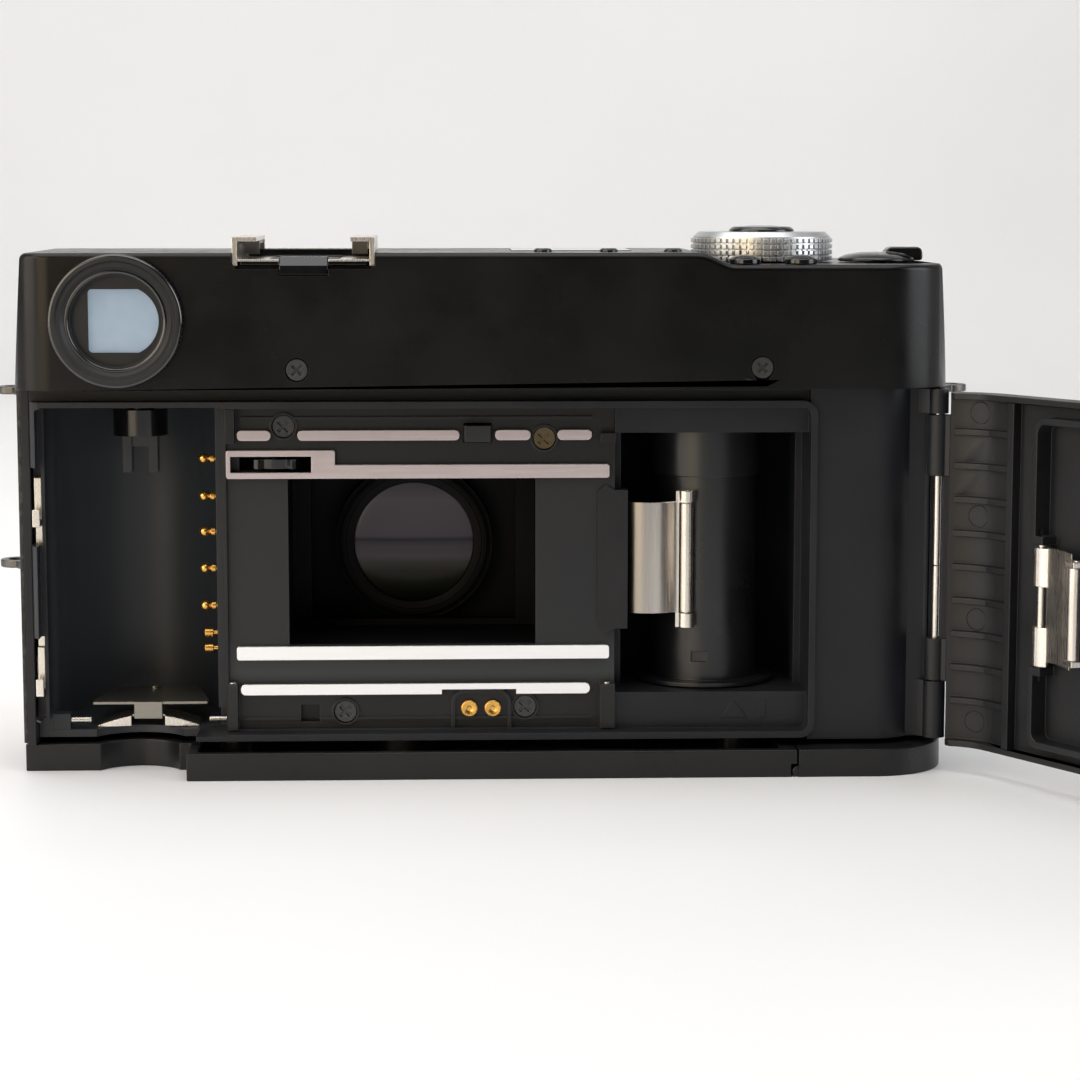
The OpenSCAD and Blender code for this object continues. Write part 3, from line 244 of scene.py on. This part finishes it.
def plain_metal(name, colour, rough, stretch=(1, 1, 1), scratch=0.2 * MM, depth=0.0008 * MM):
    """Metal with drawn or turned marks; stretch below 1 draws the marks out along that axis."""
    g = Graph(name)
    marks = g.noise(scratch, 2, stretch)
    stain = g.noise(9 * MM, 3)
    g.set(Metallic=1.0)
    dull = [c * 0.86 for c in colour]
    g.link(g.ramp(stain, 0, 0, [dull, colour], (0.3, 0.6)), g.shader.inputs["Base Color"])
    rough_part = g.math("ADD", g.ramp(marks, -0.03, 0.04, at=(0.3, 0.7)), g.ramp(stain, rough, rough + 0.08))
    g.link(rough_part, g.shader.inputs["Roughness"])
    g.bump(marks, depth)
    return g.material


def bent_leaf(name, near, far):
    """Brushed spring steel with painted shade that darkens it towards its hidden root, from X = near to X =
    far.
    """
    g = Graph(name)
    split = g.add("ShaderNodeSeparateXYZ")
    g.link(g.place, split.inputs["Vector"])
    root_shade_fade = g.ramp(split.outputs["X"], 0, 1, at=(near, far))
    marks = g.noise(0.2 * MM, 2, (1, 1, 0.02))
    g.set(Metallic=1.0)
    # painted shade: near black at the root, bright steel further out
    g.link(g.ramp(root_shade_fade, 0, 0, [(0.1, 0.09, 0.08), (0.78, 0.73, 0.67)]), g.shader.inputs["Base Color"])
    g.link(g.ramp(marks, 0.2, 0.28, at=(0.3, 0.7)), g.shader.inputs["Roughness"])
    g.bump(marks, 0.0005 * MM)
    return g.material


def pebbled_covering(name):
    g = Graph(name)
    grain = g.cells(0.9 * MM, "SMOOTH_F1")
    small = g.noise(0.25 * MM, 3)
    # painted light and shade: pebble tops paler, the gaps between pebbles darker
    tone = g.ramp(grain, 0, 0, [(0.05, 0.05, 0.052), (0.012, 0.012, 0.013)], (0.1, 0.6))
    g.link(tone, g.shader.inputs["Base Color"])
    g.link(g.ramp(small, 0.5, 0.72), g.shader.inputs["Roughness"])
    g.bump(g.math("SUBTRACT", 1.0, grain), 0.16 * MM)
    g.bump(small, 0.02 * MM)
    return g.material


def lens_painted_reflection(name, low, high):
    """Painted reflection on the coated glass: violet-grey above, olive below, parted by the dark line of the
    far edge.
    """
    g = Graph(name)
    stops = [
        (0.0, (0.004, 0.005, 0.006)), (0.08, (0.014, 0.015, 0.009)), (0.25, (0.04, 0.039, 0.026)),
        (0.33, (0.1, 0.09, 0.08)), (0.38, (0.16, 0.14, 0.155)), (0.46, (0.13, 0.115, 0.135)),
        (0.5, (0.09, 0.08, 0.095)), (0.52, (0.045, 0.045, 0.055)), (0.55, (0.15, 0.135, 0.16)),
        (0.68, (0.18, 0.16, 0.18)), (0.85, (0.21, 0.185, 0.205)), (1.0, (0.14, 0.13, 0.145)),
    ]
    # painted reflection: these bands stand in for the room seen in and through the glass
    g.link(g.bands(g.height(low, high), stops), g.shader.inputs["Base Color"])
    g.set(Specular_IOR_Level=0.12)
    g.link(g.ramp(g.noise(7 * MM, 3), 0.12, 0.2), g.shader.inputs["Roughness"])
    return g.material


def polished_rail(name, low, high, bottom, top):
    """Polished metal with a painted reflection: a paler room mirrored at its lower end than at its upper end.
    """
    g = Graph(name)
    marks = g.noise(0.5 * MM, 2, (0.06, 1, 1))
    g.set(Metallic=1.0)
    # painted reflection: pale at the lower end, pinkish grey at the upper end
    g.link(g.ramp(g.height(low, high), 0, 0, [bottom, top]), g.shader.inputs["Base Color"])
    g.link(g.ramp(marks, 0.14, 0.2, at=(0.3, 0.7)), g.shader.inputs["Roughness"])
    g.bump(marks, 0.0008 * MM)
    return g.material


def pale_glass(name, colour):
    """Window that looks through to a bright background, painted in as a glow from emission."""
    g = Graph(name)
    haze = g.noise(5 * MM, 3)
    top = [c * 0.86 for c in colour]
    g.link(g.ramp(haze, 0, 0, [top, colour], (0.3, 0.7)), g.shader.inputs["Base Color"])
    g.link(g.ramp(haze, 0.04, 0.1), g.shader.inputs["Roughness"])
    # painted light: the window glows to stand in for the bright background behind it
    g.link(g.ramp(haze, 0, 0, [top, colour], (0.3, 0.7)), g.shader.inputs["Emission Color"])
    g.set(Emission_Strength=0.45, Coat_Weight=0.5, IOR=1.5)
    return g.material


def dark_window(name, colour):
    g = Graph(name)
    streak = g.noise(8 * MM, 4)
    dull = [c * 0.7 for c in colour]
    g.link(g.ramp(streak, 0, 0, [dull, colour], (0.3, 0.7)), g.shader.inputs["Base Color"])
    g.link(g.ramp(streak, 0.04, 0.12), g.shader.inputs["Roughness"])
    g.set(Coat_Weight=0.8, Coat_Roughness=0.03)
    return g.material


MATERIALS = {
    # black_casting: its chamber colour is painted light, paler and bluer deep in the cassette chamber
    "black_casting": coated_black(
        "black_casting", (0.013, 0.014, 0.017), 0.38, 0.22 * MM, 0.012 * MM,
        sheen=0.3, painted_chamber_light=(0.055, 0.06, 0.066),
    ),
    "black_cover": coated_black(
        "black_cover", (0.0034, 0.0032, 0.0031), 0.27, 0.12 * MM, 0.002 * MM, sheen=0.24,
    ),
    "black_plastic": coated_black("black_plastic", (0.0105, 0.011, 0.013), 0.45, 0.3 * MM, 0.015 * MM),
    # base_black is painted light: a paler copy of black_cover for the lit bottom plate and battery cover
    "base_black": coated_black("base_black", (0.0095, 0.0095, 0.01), 0.3, 0.12 * MM, 0.004 * MM, sheen=0.35),
    # dark_well is painted shade: a darker, duller copy of black_plastic for parts deep in the lens well
    "dark_well": coated_black("dark_well", (0.0035, 0.0035, 0.004), 0.5, 0.3 * MM, 0.01 * MM, sheen=0.12),
    "gloss_black": coated_black("gloss_black", (0.004, 0.004, 0.0045), 0.14, 0.2 * MM, 0.001 * MM, sheen=0.6),
    "ring_black": coated_black("ring_black", (0.004, 0.004, 0.0045), 0.15, 0.15 * MM, 0.001 * MM, sheen=0.9),
    "covering": pebbled_covering("covering"),
    "rail_plate": film_plate_black("rail_plate"),
    "nickel": plain_metal("nickel", (0.76, 0.72, 0.67), 0.22, (1, 1, 0.03)),
    "dial_metal": plain_metal("dial_metal", (0.6, 0.61, 0.62), 0.3),
    "polished": polished_rail("polished", 36 * MM, 42 * MM, (0.95, 0.94, 0.93), (0.6, 0.51, 0.5)),
    "dark_steel": plain_metal("dark_steel", (0.13, 0.125, 0.12), 0.3),
    "black_screw": coated_black("black_screw", (0.034, 0.033, 0.032), 0.24, 0.2 * MM, 0.004 * MM, sheen=0.6),
    "brass_screw": plain_metal("brass_screw", (0.13, 0.1, 0.06), 0.28),
    "leaf_steel": bent_leaf("leaf_steel", -30 * MM, -38.5 * MM),
    "saddle_steel": plain_metal("saddle_steel", (0.3, 0.29, 0.27), 0.34),
    "spool_black": coated_black("spool_black", (0.009, 0.0095, 0.011), 0.3, 0.3 * MM, 0.006 * MM, sheen=0.55),
    "gold": plain_metal("gold", (0.82, 0.46, 0.12), 0.22),
    "lens_glass": lens_painted_reflection("lens_glass", 21.6 * MM, 39.8 * MM),
    "finder_glass": pale_glass("finder_glass", (0.3, 0.37, 0.44)),
    "window_panel": dark_window("window_panel", (0.012, 0.012, 0.02)),
    "lamp": dark_window("lamp", (0.45, 0.02, 0.015)),
    "board": coated_black("board", (0.02, 0.09, 0.04), 0.3, 0.4 * MM, 0.01 * MM),
    "cell": coated_black("cell", (0.05, 0.06, 0.2), 0.35, 0.5 * MM, 0.01 * MM),
}

SLOT = {row["node"]: row["material_slot"] for row in frame["record"]["subparts"]}
BODY = {node: body for body, nodes in frame["record"]["behaviour"]["bodies"].items() for node in nodes}

for node_name, slot_name in SLOT.items():
    data = NODES[node_name].data
    data.materials.clear()
    data.materials.append(MATERIALS[slot_name])


# ---- refined meshes ----


def placed(piece, node, replace=True, material=None):
    """Puts a new piece on the body of a CAD node, with that node's finish unless one is given."""
    bpy.context.scene.collection.objects.link(piece)
    if not piece.data.materials:
        piece.data.materials.append(material or MATERIALS[SLOT[node]])
    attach(piece, BODY[node])
    if replace:
        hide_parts(node)
    return piece


def clean_copy(node, merge=True):
    """Welded mesh of a CAD node, with its triangles merged back into flat faces unless merge is False."""
    mesh = bpy.data.meshes.new(node + "_fine")
    bm = bmesh.new()
    bm.from_mesh(NODES[node].data)
    bmesh.ops.remove_doubles(bm, verts=bm.verts, dist=WELD)
    if merge:
        bmesh.ops.dissolve_limit(bm, angle_limit=FLAT_ANGLE, verts=bm.verts, edges=bm.edges)
    bm.to_mesh(mesh)
    bm.free()
    for name in ("custom_normal", "sharp_edge", "sharp_face"):
        if name in mesh.attributes:
            mesh.attributes.remove(mesh.attributes[name])
    mesh.materials.clear()
    return mesh


def rounded(piece, width, segments, limit="ANGLE", angle=40):
    modifier = piece.modifiers.new("round_" + limit.lower(), "BEVEL")
    modifier.width = width
    modifier.segments = segments
    modifier.limit_method = limit
    modifier.angle_limit = math.radians(angle)
    modifier.use_clamp_overlap = False
    modifier.harden_normals = True


def refined(node, width, segments=2, angle=40, mark=None, mark_width=0.8 * MM, merge=True):
    """Copy of a CAD node with rounded edges; edges chosen by mark get the wider rounding."""
    mesh = clean_copy(node, merge)
    piece = bpy.data.objects.new(node + "_fine", mesh)
    if mark:
        bm = bmesh.new()
        bm.from_mesh(mesh)
        weight = bm.edges.layers.float.new("bevel_weight_edge")
        for edge in bm.edges:
            edge[weight] = 1.0 if mark(edge) else 0.0
        bm.to_mesh(mesh)
        bm.free()
        rounded(piece, mark_width, 5, "WEIGHT")
    if width:
        rounded(piece, width, segments, "ANGLE", angle)
    elif mark:
        piece.modifiers.new("flat_faces", "WEIGHTED_NORMAL").keep_sharp = True
    mesh.shade_smooth()
    mesh.set_sharp_from_angle(angle=SHARP_ANGLE)
    return placed(piece, node)


def deck_rim(edge):
    """Edges where the deck meets the outer wall of the top cover."""
    if len(edge.link_faces) != 2:
        return False
    if max(abs(v.co.x - SHOE_X) for v in edge.verts) < SHOE_NOTCH:
        return False
    up, side = sorted(edge.link_faces, key=lambda f: -f.normal.z)
    low = min(v.co.z for v in side.verts)
    return up.normal.z > 0.8 and abs(side.normal.z) < 0.2 and low < 60 * MM


def lathe(name, x, z, profile, steps=144):
    """Closed profile of (radius, y) points turned about the line along Y through (x, z)."""
    mesh = bpy.data.meshes.new(name)
    verts = []
    for k in range(steps):
        a = 2 * math.pi * k / steps
        verts += [((x + r * math.cos(a)) * MM, y * MM, (z + r * math.sin(a)) * MM) for r, y in profile]
    n = len(profile)
    faces = [
        (k * n + i, k * n + (i + 1) % n, (k + 1) % steps * n + (i + 1) % n, (k + 1) % steps * n + i)
        for k in range(steps)
        for i in range(n)
    ]
    mesh.from_pydata(verts, [], faces)
    bm = bmesh.new()
    bm.from_mesh(mesh)
    bmesh.ops.remove_doubles(bm, verts=bm.verts, dist=WELD)
    bmesh.ops.recalc_face_normals(bm, faces=bm.faces)
    bm.to_mesh(mesh)
    bm.free()
    mesh.shade_smooth()
    mesh.set_sharp_from_angle(angle=LATHE_SHARP_ANGLE)
    return bpy.data.objects.new(name, mesh)


def arc(cx, cy, r, start, end, steps=8):
    """Points of a circular arc in a lathe profile, angles in degrees from the radius axis."""
    turns = [math.radians(start + (end - start) * k / steps) for k in range(steps + 1)]
    return [(cx + r * math.cos(t), cy + r * math.sin(t)) for t in turns]


def centre(node):
    low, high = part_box(node)
    return [(a + b) / 2 / MM for a, b in zip(low, high)]


def make_covers():
    refined("top_cover", 0, mark=deck_rim, mark_width=0.85 * MM)
    # the bottom plate and battery cover take base_black, the copy of black_cover with painted light
    refined("bottom_plate", 0.2 * MM, 3).data.materials[0] = MATERIALS["base_black"]
    refined("front_cover", 0.1 * MM, 2)
    refined("front_covering", 0.12 * MM, 2)
    refined("battery_cover", 0.15 * MM, 2).data.materials[0] = MATERIALS["base_black"]
    refined("strap_lugs", 0.2 * MM, 3)
    refined("hot_shoe", 0, merge=False)
    NODES["case_screws"].data.materials[0] = MATERIALS["black_screw"]
    refined("shoe_insulator", 0.12 * MM, 2)
    refined("mode_lever", 0.3 * MM, 3, angle=30)
    for name in ("select_button", "timer_button", "mode_button", "down_button", "up_button"):
        refined(name, 0.1 * MM, 2)
    refined("shutter_button", 0.15 * MM, 3, angle=25)
    refined("aperture_dial", 0.04 * MM, 1)


def polish_rails(plate):
    """Bright tops on the raised rails of the film plate."""
    plate.data.materials.append(MATERIALS["polished"])
    for face in plate.data.polygons:
        y, z = face.center.y / MM, face.center.z / MM
        inner = abs(y - RAIL_Y) < RAIL_SLACK and any(low < z < high for low, high in INNER_RAIL_BANDS)
        outer = abs(y - OUTER_RAIL_Y) < RAIL_SLACK
        if face.normal.y > 0.9 and (inner or outer):
            face.material_index = 1


def make_screws():
    """Screws of the film plate, one of them brass coloured, and the rims of the data contacts."""
    screws = refined("plate_screws", 0.04 * MM, 1)
    screws.data.materials.clear()
    screws.data.materials.append(MATERIALS["black_screw"])
    screws.data.materials.append(MATERIALS["brass_screw"])
    for face in screws.data.polygons:
        if face.center.x < -18 * MM and face.center.z > 40 * MM:
            face.material_index = 1
    rim = [(0.3, 10.9), (0.42, 10.98), (1.1, 10.98), (1.18, 10.9), (1.18, 10.8), (0.3, 10.8)]
    for x in DATA_CONTACTS_X:
        placed(lathe("contact_rim", x, DATA_CONTACTS_Z, rim, 48), "data_contacts", replace=False)


def raised(name, points, y, height, node):
    """Flat raised figure on a wall that faces +Y; points are (x, z) in mm, in order around it."""
    n = len(points)
    mesh = bpy.data.meshes.new(name)
    verts = [(x * MM, (y + d) * MM, z * MM) for d in (-0.05, height) for x, z in points]
    sides = [(k, (k + 1) % n, n + (k + 1) % n, n + k) for k in range(n)]
    mesh.from_pydata(verts, [], sides + [tuple(range(n))[::-1], tuple(range(n, 2 * n))])
    bm = bmesh.new()
    bm.from_mesh(mesh)
    bmesh.ops.recalc_face_normals(bm, faces=bm.faces)
    bm.to_mesh(mesh)
    bm.free()
    piece = bpy.data.objects.new(name, mesh)
    rounded(piece, 0.05 * MM, 2)
    placed(piece, node, replace=False)


def make_film_path():
    refined("main_chassis", 0, merge=False)
    finishes = {"film_leaf": "leaf_steel", "cassette_saddle": "saddle_steel", "take_up_spool": "spool_black"}
    for name in ("guide_flap", "film_leaf", "cassette_saddle", "take_up_spool", "sprocket", "rewind_fork"):
        piece = refined(name, 0.06 * MM, 2)
        if name in finishes:
            piece.data.materials[0] = MATERIALS[finishes[name]]
    for name in ("cassette_spring", "spool_spring", "door_switch"):
        refined(name, 0.08 * MM, 2)
    refined("door_latch", 0.12 * MM, 2)
    polish_rails(refined("film_plate", 0, merge=False))
    make_screws()
    # plain arrow and mark below the take-up spool, where the film's end goes
    arrow = [(-44.9, 7.7), (-48.7, 7.7), (-47.1, 9.8), (-46.6, 10.3)]
    mark = [(-50.3, 7.7), (-51.4, 7.7), (-51.4, 10.4), (-50.3, 10.4)]
    raised("film_end_arrow", arrow, FILM_END_Y, FILM_END_HEIGHT, "main_chassis")
    raised("film_end_mark", mark, FILM_END_Y, FILM_END_HEIGHT, "main_chassis")


def make_ejector_marks():
    """Round marks of the moulding pins on the curved end of the door."""
    mesh = NODES["back_door"].data
    door = BVHTree.FromPolygons([v.co for v in mesh.vertices], [tuple(f.vertices) for f in mesh.polygons])
    for z in EJECTOR_MARKS_Z:
        aim = Vector((-80.95 * MM, 17 * MM, z * MM))
        place, normal, _, _ = door.ray_cast(EYE, (aim - EYE).normalized())
        if place is None:
            continue
        ring = lathe("ejector_mark", 0, 0, [(1.42, -0.3), (1.47, 0.15), (1.6, 0.15), (1.65, -0.3)], 48)
        turn = Vector((0, 1, 0)).rotation_difference(normal).to_matrix().to_4x4()
        turn.translation = place
        ring.data.transform(turn)
        placed(ring, "back_door", replace=False)


def make_eyepiece():
    x, _, z = centre("eyepiece_ring")
    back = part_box("eyepiece_ring")[1][1] / MM - 1.5
    rim = arc(8.95, back + 1.05, 0.45, 0, 180)
    bead = arc(6.95, back + 0.35, 0.35, 10, 200)
    profile = [(6.05, back - 3), (8.1, back - 3), (8.1, back), (9.4, back)] + rim
    profile += [(8.4, back + 0.75), (8.1, back + 0.7), (7.95, back + 0.85), (7.75, back + 0.85)]
    profile += [(7.6, back + 0.6), (7.35, back + 0.45)] + bead
    profile += [(6.5, back + 0.1), (6.42, back - 0.1), (6.4, back - 0.8), (6.05, back - 0.8)]
    ring = lathe("eyepiece_ring_turned", x, z, profile)
    placed(ring, "eyepiece_ring", replace=False, material=MATERIALS["ring_black"])


def make_lens_back():
    z = centre("rear_element")[2]
    edge = 9.98
    dome = [
        (edge * math.sin(t), -13.5 + 0.85 * math.cos(t))
        for t in [math.radians(6 * k) for k in range(16)]
    ]
    glass = lathe("rear_element_turned", 0, z, dome + [(edge, -15.6), (0.0, -15.6)])
    placed(glass, "rear_element")
    mount = [(9.08, -12.8), (9.2, -12.6), (9.4, -12.55), (10.3, -12.5), (10.45, -12.65), (10.8, -12.75)]
    mount += [(10.95, -12.6), (11.1, -12.6), (11.25, -12.85), (11.85, -13.0), (12.0, -12.85), (12.1, -13.1)]
    mount += [(12.1, -15.5), (10.06, -15.5), (10.06, -13.05), (9.08, -13.0)]
    ring = lathe("lens_cell_rings", 0, z, mount)
    # the lens cell rings, shutter housing and light box take dark_well, the copy of black plastic with
    # painted shade
    placed(ring, "shutter_housing", replace=False, material=MATERIALS["dark_well"])
    for node in ("shutter_housing", "light_box"):
        NODES[node].data.materials[0] = MATERIALS["dark_well"]


make_covers()
make_film_path()
make_eyepiece()
make_lens_back()
refined("back_door", 0.12 * MM, 2)
make_ejector_marks()
refined("pressure_plate", 0.08 * MM, 2)


# ---- floor, light and camera ----


def stage_sheet():
    """Pale floor that curves up into a backdrop behind the object."""
    bend, far, near, half = 0.35, -1.1, 0.95, 1.6
    profile = [(near, 0.0), (0.0, 0.0), (far + bend, 0.0)]
    profile += [
        (far + bend - bend * math.sin(a), bend - bend * math.cos(a))
        for a in [math.radians(7.5 * k) for k in range(1, 13)]
    ]
    profile.append((far, 1.6))
    mesh = bpy.data.meshes.new("studio_floor")
    verts = [(x, y, z) for y, z in profile for x in (-half, half)]
    faces = [(2 * k, 2 * k + 1, 2 * k + 3, 2 * k + 2) for k in range(len(profile) - 1)]
    mesh.from_pydata(verts, [], faces)
    mesh.shade_smooth()
    sheet = bpy.data.objects.new("studio_floor", mesh)
    bpy.context.scene.collection.objects.link(sheet)
    g = Graph("pale_floor")
    cloud = g.noise(0.25, 4)
    tone = g.ramp(cloud, 0, 0, [(0.86, 0.86, 0.865), (0.9, 0.9, 0.9)], (0.3, 0.7))
    g.link(tone, g.shader.inputs["Base Color"])
    g.link(g.ramp(cloud, 0.45, 0.6), g.shader.inputs["Roughness"])
    mesh.materials.append(g.material)


def soft_light(name, place, target, size, power, colour, only_gloss=False):
    data = bpy.data.lights.new(name, "AREA")
    data.shape = "RECTANGLE"
    data.size, data.size_y = size
    data.energy = power
    data.color = colour
    light = bpy.data.objects.new(name, data)
    bpy.context.scene.collection.objects.link(light)
    light.location = place
    light.visible_diffuse = not only_gloss
    light.rotation_euler = (Vector(target) - Vector(place)).to_track_quat("-Z", "Y").to_euler()


def world_light():
    """Even room light; reflections see it dimmer behind the camera, where the room is dark."""
    world = bpy.data.worlds.new("studio")
    bpy.context.scene.world = world
    world.use_nodes = True
    tree = world.node_tree
    background = tree.nodes["Background"]
    background.inputs["Color"].default_value = (0.86, 0.83, 0.82, 1)
    split = tree.nodes.new("ShaderNodeSeparateXYZ")
    tree.links.new(tree.nodes.new("ShaderNodeTexCoord").outputs["Generated"], split.inputs["Vector"])
    fade = tree.nodes.new("ShaderNodeMapRange")
    limits = {"From Min": 0.1, "From Max": 0.8, "To Min": ROOM, "To Max": ROOM_BEHIND_CAMERA}
    for key, value in limits.items():
        fade.inputs[key].default_value = value
    tree.links.new(split.outputs["Y"], fade.inputs["Value"])
    pick = tree.nodes.new("ShaderNodeMix")
    pick.inputs["A"].default_value = ROOM
    tree.links.new(tree.nodes.new("ShaderNodeLightPath").outputs["Is Glossy Ray"], pick.inputs["Factor"])
    tree.links.new(fade.outputs["Result"], pick.inputs["B"])
    tree.links.new(pick.outputs["Result"], background.inputs["Strength"])


def rear_camera():
    data = bpy.data.cameras.new("camera")
    data.lens = 91.7
    data.sensor_width = 36
    data.clip_start = 0.01
    camera = bpy.data.objects.new("camera", data)
    bpy.context.scene.collection.objects.link(camera)
    camera.location = EYE
    yaw, pitch = math.radians(2), math.radians(7.2)
    ahead = Vector((-math.sin(yaw) * math.cos(pitch), -math.cos(yaw) * math.cos(pitch), -math.sin(pitch)))
    camera.rotation_euler = ahead.to_track_quat("-Z", "Y").to_euler()
    bpy.context.scene.camera = camera


stage_sheet()
world_light()
soft_light("top_box", (0.05, 0.12, 0.75), (0, 0, 0), (0.9, 0.7), 5.2, (1, 1, 1))
soft_light("left_box", (0.72, 0.3, 0.3), (0, 0, 0.03), (0.5, 0.8), 4.2, (1, 0.92, 0.8))
soft_light("right_box", (-0.8, 0.3, 0.35), (0, 0, 0.03), (0.5, 0.6), 1.8, (0.97, 0.98, 1))
soft_light("back_wash", (0, -0.45, 0.85), (0, -1.1, 0.25), (1.6, 0.5), 2.9, (1, 1, 1))
soft_light("warm_card", (0.5, 0.85, 0.2), (0.05, 0, 0.05), (0.5, 0.9), 5, (1, 0.8, 0.52), only_gloss=True)
soft_light("cool_card", (-0.9, 0.3, 0.2), (-0.06, 0, 0.05), (0.6, 0.9), 4, (0.92, 0.96, 1), only_gloss=True)
rear_camera()
bpy.context.scene.view_settings.view_transform = "Standard"
